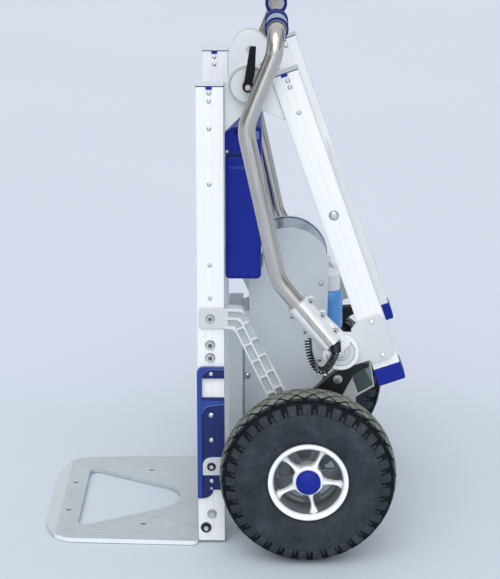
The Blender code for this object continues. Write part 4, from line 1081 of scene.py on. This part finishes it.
def clamp(name, side, body):
    """Pivot hub and split sleeve, with clamp flanges and their screws."""
    top = Vector((SLEEVE_TOP[0], HANDLE_Y * side, SLEEVE_TOP[1]))
    foot = Vector((SLEEVE_END[0], HANDLE_Y * side, SLEEVE_END[1]))
    down = (foot - top).normalized()
    sideways = Vector((-down.z, 0, down.x))
    out = Vector((0, side, 0))
    hub_y = (RAIL_OUTER + 0.0060, RAIL_OUTER + 0.0150)
    hub = [(0, hub_y[0]), (0.0275, hub_y[0]), (0.0275, hub_y[1] - 0.0010),
           (0.0263, hub_y[1]), (0, hub_y[1])]
    piece = turned(f"clamp_casting_{name}", hub, PIVOT, "satin_silver", body, 64, 30, side,
                   cad=f"handle_clamp_{name}", slot="zinc")
    join(piece, tube("sleeve_tool", [top, foot], 0.0168, sides=48))
    web = rounded([(0.1290, 0.3560, 0), (0.1440, 0.3720, 0), (0.1900, 0.3250, 0.004),
                   (0.1620, 0.2940, 0.004)])
    join(piece, plate("web_tool", web, mirror((hub_y[0], RAIL_OUTER + 0.0250), side)))
    cut(piece, tube("bore_tool", [top - down * 0.01, foot + down * 0.01], TUBE_R + 0.0003,
                    sides=48))
    corners = []
    middle = (top + foot) / 2
    for a, b in ((-1, -1), (1, -1), (1, 1), (-1, 1)):
        p = middle + down * (0.06 * a) + sideways * (0.0040 * b)
        corners.append((p.x, p.z))
    cut(piece, plate("slot_tool", corners, mirror((HANDLE_Y + 0.004, HANDLE_Y + 0.04), side)))
    bevel(piece, 0.0008, 2)
    for index, (along, shift) in enumerate(((0.0090, 0.0175), (0.0360, 0.0175), (0.0660, 0.0172),
                                            (0.0110, -0.0178), (0.0400, -0.0178))):
        place = top + down * along + sideways * shift - out * 0.0010
        bevel(tube(f"clamp_ear_{name}_{index}", [place - out * 0.0065, place + out * 0.0050],
                   0.0058, "satin_silver", body, 24), 0.0012)
        screw(f"clamp_screw_{name}_{index}", place.x, place.z, HANDLE_Y + 0.0040, side, 0.0042,
              body, height=0.0030)
    cover = [(0, -0.001), (0.0205, -0.001), (0.0200, 0.0010), (0.0135, 0.0012),
             (0.0128, 0.0004), (0.0118, 0.0016), (0.0074, 0.0038), (0.0066, 0.0030),
             (0.0058, 0.0040), (0, 0.0042)]
    turned(f"hub_cover_{name}", lifted(hub_y[1], cover), PIVOT, "plate_white", body, 64, 30, side)
    for index, (r, level) in enumerate(((0.0127, 0.0006), (0.0067, 0.0032), (0.0206, 0.0004))):
        seam = [(r - 0.0004, -0.001), (r + 0.0004, -0.001), (r + 0.0004, level),
                (r - 0.0004, level)]
        turned(f"hub_seam_{name}_{index}", lifted(hub_y[1], seam), PIVOT, "inner_grey", body,
               64, 30, side)


def grip(name, side, body, centre, inner, outer):
    """Grip sleeve with fine ridges, between a long blue inner end and a blue outer ring."""
    bore, radius, ring = TUBE_R + 0.0003, 0.0152, 0.0167
    seam = inner + 0.0320
    profile = [(bore, outer - 0.008)]
    count = 18
    step = (outer - seam - 0.008) / count
    for index in range(count):
        y = outer - 0.008 - step * index
        profile += [(radius, y - step * 0.12), (radius, y - step * 0.62),
                    (radius - 0.0006, y - step * 0.78), (radius - 0.0006, y - step * 0.96)]
    profile += [(bore, seam)]
    turned(f"grip_sleeve_{name}", profile, centre, "grip_grey", body, 48, 50, side,
           cad=f"grip_{name}", slot="grip_grey")
    for index, (a, b) in enumerate(((outer - 0.0085, outer), (inner, seam + 0.0005))):
        collar = [(bore, a), (ring - 0.001, a), (ring, a + 0.0012), (ring, b - 0.0012),
                  (ring - 0.001, b), (bore, b)]
        turned(f"grip_ring_{name}_{index}", collar, centre, "grip_blue", body, 56, 30, side)
    liner = [(bore + 0.0001, outer - 0.002), (bore + 0.0016, outer - 0.002),
             (bore + 0.0016, outer + 0.0006), (bore + 0.0001, outer + 0.0006)]
    turned(f"grip_liner_{name}", liner, centre, "inner_grey", body, 40, 30, side)


def curly_cord():
    """A coiled lead that hangs in a U from behind the sleeve to a boot at its foot."""
    route = [(0.1276, -0.1785, 0.3270), (0.1300, -0.1810, 0.3060), (0.1375, -0.1860, 0.2890),
             (0.1465, -0.1910, 0.2830), (0.1560, -0.1950, 0.2890), (0.1635, -0.1985, 0.3030),
             (0.1680, -0.1995, 0.3140)]
    line = smooth_path(route, 0.0004)
    coil_r, wire_r, pitch = 0.0046, 0.0012, 0.0042
    points, travelled = [], 0.0
    for index, vectors in enumerate(carried(line, Vector((0, 1, 0)))):
        if index:
            travelled += (line[index] - line[index - 1]).length
        points.append(line[index] + at_angle(*vectors, math.tau * travelled / pitch) * coil_r)
    tube("coiled_lead", smooth_path(points, 0.0009), wire_r, "cord_rubber", "handle_left", 8,
         cad="curly_cord", slot="rubber")
    end = Vector(route[-1])
    tip = Vector((SLEEVE_END[0] + 0.0060, -HANDLE_Y + 0.001, SLEEVE_END[1] + 0.0010))
    bevel(tube("lead_boot", [end - Vector((0, 0, 0.001)), end + (tip - end) * 0.5, tip], 0.0078,
               "black_plastic", "handle_left", 24), 0.001)


def button():
    low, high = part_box("control_button")
    centre = ((low.x + high.x) / 2, (low.z + high.z) / 2)
    profile = [(0, 0.0055), (0.0085, 0.0055), (0.0085, 0.0018), (0.0076, 0.0004), (0.0060, 0),
               (0.0040, 0.0006), (0, 0.0010)]
    turned("push_button", lifted(-high.y, profile), centre, "black_plastic", "control_button",
           40, 30, -1, cad="control_button", slot="black_plastic")


# ---------------------------------------------------------------- wheels

LUGS = 33
STEPS_PER_LUG = 20
SECTION_STEPS = 110
CROWN_END, LUG_START, LUG_END = 0.30, 0.365, 0.565
WHEEL_Y = 0.215
BEAD_R = 0.0594
SPOKE_ANGLES = [64 + 72 * index for index in range(5)]


def section_point(v):
    """Radius and half-width of the tyre's smooth outer section; v runs 0 at the crown to
    1 at the bead."""
    knots = [(0.0, 0.1282, 0.0), (0.14, 0.1277, 0.0120), (0.26, 0.1247, 0.0225),
             (0.36, 0.1200, 0.0300), (0.47, 0.1132, 0.0352), (0.58, 0.1045, 0.0386),
             (0.70, 0.0940, 0.0400), (0.82, 0.0825, 0.0393), (0.91, 0.0715, 0.0362),
             (1.0, BEAD_R, 0.0290)]
    index = next(place for place in range(len(knots) - 1) if v <= knots[place + 1][0])
    a, b = knots[index], knots[index + 1]
    before = knots[index - 1] if index else (-b[0], b[1], -b[2])
    after = knots[index + 2] if index + 2 < len(knots) else b
    t = (v - a[0]) / (b[0] - a[0])
    return [catmull(before[k], a[k], b[k], after[k], t) for k in (1, 2)]


def smoothstep(low, high, value):
    t = min(1.0, max(0.0, (value - low) / (high - low)))
    return t * t * (3 - 2 * t)


def tread_height(turn, v, sign):
    """Outward relief at a share of a turn and a place v across the tyre: diamond blocks on
    the crown, a groove, long and short side lugs, then thin rings on the wall."""
    phase = turn * LUGS
    if v < CROWN_END:
        across = sign * v / CROWN_END * 1.2
        first = abs((phase + across) % 1.0 - 0.5)
        second = abs((phase - across) % 1.0 - 0.5)
        block_top = smoothstep(0.050, 0.130, min(first, second))
        return 0.0034 * block_top - 0.0022
    if v < LUG_START:
        return -0.0020
    if v < LUG_END:
        local = phase % 1.0
        tall = min(smoothstep(0.06, 0.12, local), 1 - smoothstep(0.64, 0.70, local))
        short = 0.0
        if v > 0.47:
            short = min(smoothstep(0.74, 0.78, local), 1 - smoothstep(0.92, 0.96, local)) * 0.6
        fade = smoothstep(LUG_START, 0.380, v) * (1 - smoothstep(0.548, LUG_END, v))
        return (0.0034 * max(tall, short) - 0.0012) * fade
    ring = 0.0
    for centre, width, tall in ((0.625, 0.007, 0.0006), (0.81, 0.010, 0.0004),
                                (0.90, 0.012, 0.0005), (0.955, 0.010, 0.0006)):
        ring += tall * max(0.0, 1 - abs(v - centre) / width)
    return ring


def tyres():
    around = LUGS * STEPS_PER_LUG
    rows = [index / SECTION_STEPS for index in range(SECTION_STEPS + 1)]
    for name, side in SIDES:
        bm = bmesh.new()
        grid = []
        places = [(v, -1) for v in reversed(rows)] + [(v, 1) for v in rows[1:]]
        smooth = [section_point(v) for v, _ in places]
        for index, (v, sign) in enumerate(places):
            radius, half = smooth[index]
            before = smooth[max(index - 1, 0)]
            after = smooth[min(index + 1, len(places) - 1)]
            sign_before = places[max(index - 1, 0)][1]
            sign_after = places[min(index + 1, len(places) - 1)][1]
            step = Vector((after[0] - before[0], after[1] * sign_after - before[1] * sign_before))
            normal = Vector((step.y, -step.x)).normalized()
            row = []
            for number in range(around):
                turn = number / around
                lift = tread_height(turn, v, sign)
                r = radius + normal.x * lift
                y = half * sign + normal.y * lift
                angle = turn * math.tau
                row.append(bm.verts.new((AXLE[0] + r * math.cos(angle), WHEEL_Y * side + y,
                                         AXLE[1] + r * math.sin(angle))))
            grid.append(row)
        for r, y in ((BEAD_R, 0.0270), (0.0600, 0.0), (BEAD_R, -0.0270)):
            grid.append([bm.verts.new((AXLE[0] + r * math.cos(math.tau * n / around),
                                       WHEEL_Y * side + y,
                                       AXLE[1] + r * math.sin(math.tau * n / around)))
                         for n in range(around)])
        for index, (first, second) in enumerate(zip(grid, grid[1:] + grid[:1])):
            v, sign = places[min(index, len(places) - 1)]
            for number in range(around):
                after = (number + 1) % around
                face = bm.faces.new((first[number], first[after], second[after], second[number]))
                lift = tread_height((number + 0.5) / around, v, sign)
                # Faces sunk in the tread grooves take near-black rubber: painted shade in the
                # grooves.
                if v < 0.555 and lift < (-0.0010 if v < CROWN_END else 0.0):
                    face.material_index = 1
        tread = add(f"tyre_tread_{name}", bm, "tyre_rubber", f"wheel_{name}", 40,
                    cad=f"tyre_{name}", slot="tyre_rubber")
        tread.data.materials.append(MATERIALS["tread_gap_painted_shade"])


def rims():
    for name, side in SIDES:
        body = f"wheel_{name}"

        def part(piece, profile, finish, steps, **more):
            return turned(f"{piece}_{name}", lifted(WHEEL_Y, profile), AXLE, finish, body, steps,
                          35, side, **more)

        part("rim_barrel", [(0.0485, -0.030), (0.0560, -0.034), (0.0588, -0.034),
                            (0.0588, -0.030), (0.0555, -0.026), (0.0555, 0.026), (0.0588, 0.030),
                            (0.0590, 0.0330), (0.0582, 0.0345), (0.0560, 0.0350),
                            (0.0535, 0.0345), (0.0520, 0.0330), (0.0512, 0.0300),
                            (0.0500, 0.0225), (0.0485, 0.0200)],
             "rim_white", 96, cad=f"rim_{name}", slot="rim_white")
        # A dark sleeve just inside the white rim barrel: painted shade inside the barrel.
        part("rim_barrel_painted_shade", [(0.0478, -0.029), (0.0486, -0.029), (0.0500, 0.0224),
                            (0.0506, 0.0285), (0.0500, 0.0285), (0.0494, 0.0224),
                            (0.0478, 0.0190)], "rim_inner", 96)
        web = part("rim_web", [(0.0103, -0.0060), (0.0479, -0.0100), (0.0479, -0.0070),
                               (0.0103, -0.0030)], "rim_inner", 72)
        for angle in SPOKE_ANGLES:
            middle = angle + 36
            window = (arc(AXLE, 0.0400, middle - 17, middle + 17, 6)
                      + arc(AXLE, 0.0270, middle + 13, middle - 13, 6))
            cut(web, plate("rim_web_tool", window, mirror((WHEEL_Y - 0.03, WHEEL_Y + 0.01), side)))
        part("rim_hub", [(0.0103, -0.030), (0.0200, -0.030), (0.0200, 0.0180), (0.0225, 0.0205),
                         (0.0222, 0.0262), (0.0200, 0.0272), (0.0103, 0.0272)], "rim_white", 64)
        for index, angle in enumerate(SPOKE_ANGLES):
            spoke(f"spoke_{name}_{index}", side, math.radians(angle), body)
        part("cap", [(0, 0.0275), (0.0176, 0.0275), (0.0180, 0.0300), (0.0180, 0.0350),
                     (0.0172, 0.0362), (0.0120, 0.0385), (0.0060, 0.0397), (0, 0.0400)],
             "blue_plastic", 64, cad=f"hub_cap_{name}", slot="blue_plastic")


def spoke(name, side, angle, body):
    """A flared spoke, narrowest at mid-length, deeper at the hub than at the rim."""
    out = Vector((math.cos(angle), math.sin(angle)))
    across = Vector((-out.y, out.x))
    stations = ((0.0185, 0.0078, 0.0262, 0.0100), (0.0225, 0.0045, 0.0258, 0.0110),
                (0.0290, 0.0024, 0.0246, 0.0120), (0.0370, 0.0021, 0.0236, 0.0130),
                (0.0435, 0.0030, 0.0234, 0.0140), (0.0480, 0.0050, 0.0250, 0.0150),
                (0.0508, 0.0078, 0.0292, 0.0160))
    bm = bmesh.new()
    rings = []
    for r, half, top, bottom in stations:
        ring = []
        for w, y in ((-half, bottom), (-half, top - 0.0018), (-half * 0.45, top),
                     (half * 0.45, top), (half, top - 0.0018), (half, bottom)):
            p = Vector(AXLE) + out * r + across * w
            ring.append(bm.verts.new((p.x, (WHEEL_Y + y) * side, p.y)))
        rings.append(ring)
    skin(bm, rings)
    add(name, bm, "rim_white", body, 60)


# ---------------------------------------------------------------- camera, light, floor

def camera():
    data = bpy.data.cameras.new("camera")
    data.lens = 123.9
    data.sensor_width = 36
    data.clip_end = 40
    placed = linked("camera", data)
    placed.location = (0.0697, -2.943, 1.221)
    pitch = math.radians(16.5)
    look = Vector((-0.0096 * math.cos(pitch), math.cos(pitch), -math.sin(pitch)))
    placed.rotation_euler = look.to_track_quat("-Z", "Y").to_euler()
    bpy.context.scene.camera = placed


def surroundings():
    """A pale sky with darker flags at the sides, which metal and paint reflect."""
    world = bpy.data.worlds.new("studio")
    bpy.context.scene.world = world
    world.use_nodes = True
    graph = world.node_tree
    coords = wire(graph, "TexCoord", {})
    split = wire(graph, "SeparateXYZ", {"Vector": coords.outputs["Generated"]})
    sideways = wire(graph, "Math", {0: split.outputs["X"]}, operation="ABSOLUTE")
    flags = ramp(graph, sideways.outputs["Value"],
                 [(0.50, (1.0, 1.0, 1.0)), (0.66, (0.30, 0.33, 0.38)), (0.90, (0.20, 0.23, 0.28)),
                  (1.0, (0.75, 0.78, 0.82))])
    height = ramp(graph, split.outputs["Z"], [(0.0, 0.0), (0.35, 0.15), (0.75, 1.0)])
    feed(graph, graph.nodes["Background"],
         {"Color": mixed(graph, height, flags, (1.0, 1.01, 1.03, 1)), "Strength": 0.80})


def studio():
    camera()
    surroundings()
    bm = bmesh.new()
    bmesh.ops.create_grid(bm, x_segments=2, y_segments=2, size=12)
    bmesh.ops.translate(bm, vec=(0, 4, -0.0008), verts=bm.verts)
    mesh = bpy.data.meshes.new("floor")
    bm.to_mesh(mesh)
    bm.free()
    floor_material()
    mesh.materials.append(MATERIALS["floor_paper"])
    linked("floor", mesh)

    sun("key", (-0.25, -1.0, 1.3), 1.05, 50, (1.0, 0.99, 0.975))
    sun("fill", (0.5, -1.0, 0.45), 0.40, 60, (0.98, 0.99, 1.0))
    sun("front", (-0.1, -1.0, 0.22), 0.45, 40, (0.98, 0.99, 1.0))
    bpy.context.scene.view_settings.view_transform = "Standard"


def floor_material():
    """Pale paper floor, a little lighter and bluer further back, with faint mottling."""
    graph, shader = new_material("floor_paper")
    coords = wire(graph, "TexCoord", {})
    split = wire(graph, "SeparateXYZ", {"Vector": coords.outputs["Object"]})
    span = wire(graph, "MapRange", {"Value": split.outputs["Y"], "From Min": 0.30,
                                    "From Max": 0.62}, interpolation_type="SMOOTHSTEP")
    near = ramp(graph, noise(graph, 1.5, 2.0), [(0.3, (0.585, 0.655, 0.735)),
                                                (0.7, (0.605, 0.675, 0.755))])
    far = ramp(graph, noise(graph, 0.8, 2.0), [(0.3, (0.625, 0.680, 0.785)),
                                               (0.7, (0.640, 0.695, 0.800))])
    feed(graph, shader, {"Base Color": mixed(graph, span.outputs["Result"], near, far),
                         "Roughness": 0.55, "Specular IOR Level": 0.25})


def sun(name, towards, strength, spread, colour):
    """Even light from one direction, softened by a wide angle."""
    data = bpy.data.lights.new(name, "SUN")
    data.energy = strength
    data.angle = math.radians(spread)
    data.color = colour
    lamp = linked(name, data)
    lamp.rotation_euler = (-Vector(towards)).to_track_quat("-Z", "Y").to_euler()


make_materials()
studio()
lower_rails()
slide_guards()
toe_plate()
axle_arms()
housing()
motor()
struts_and_bumper()
battery()
finish_cad_nodes()
climbing_rollers()
hinge()
upper_frame()
handles()
curly_cord()
button()
tyres()
rims()
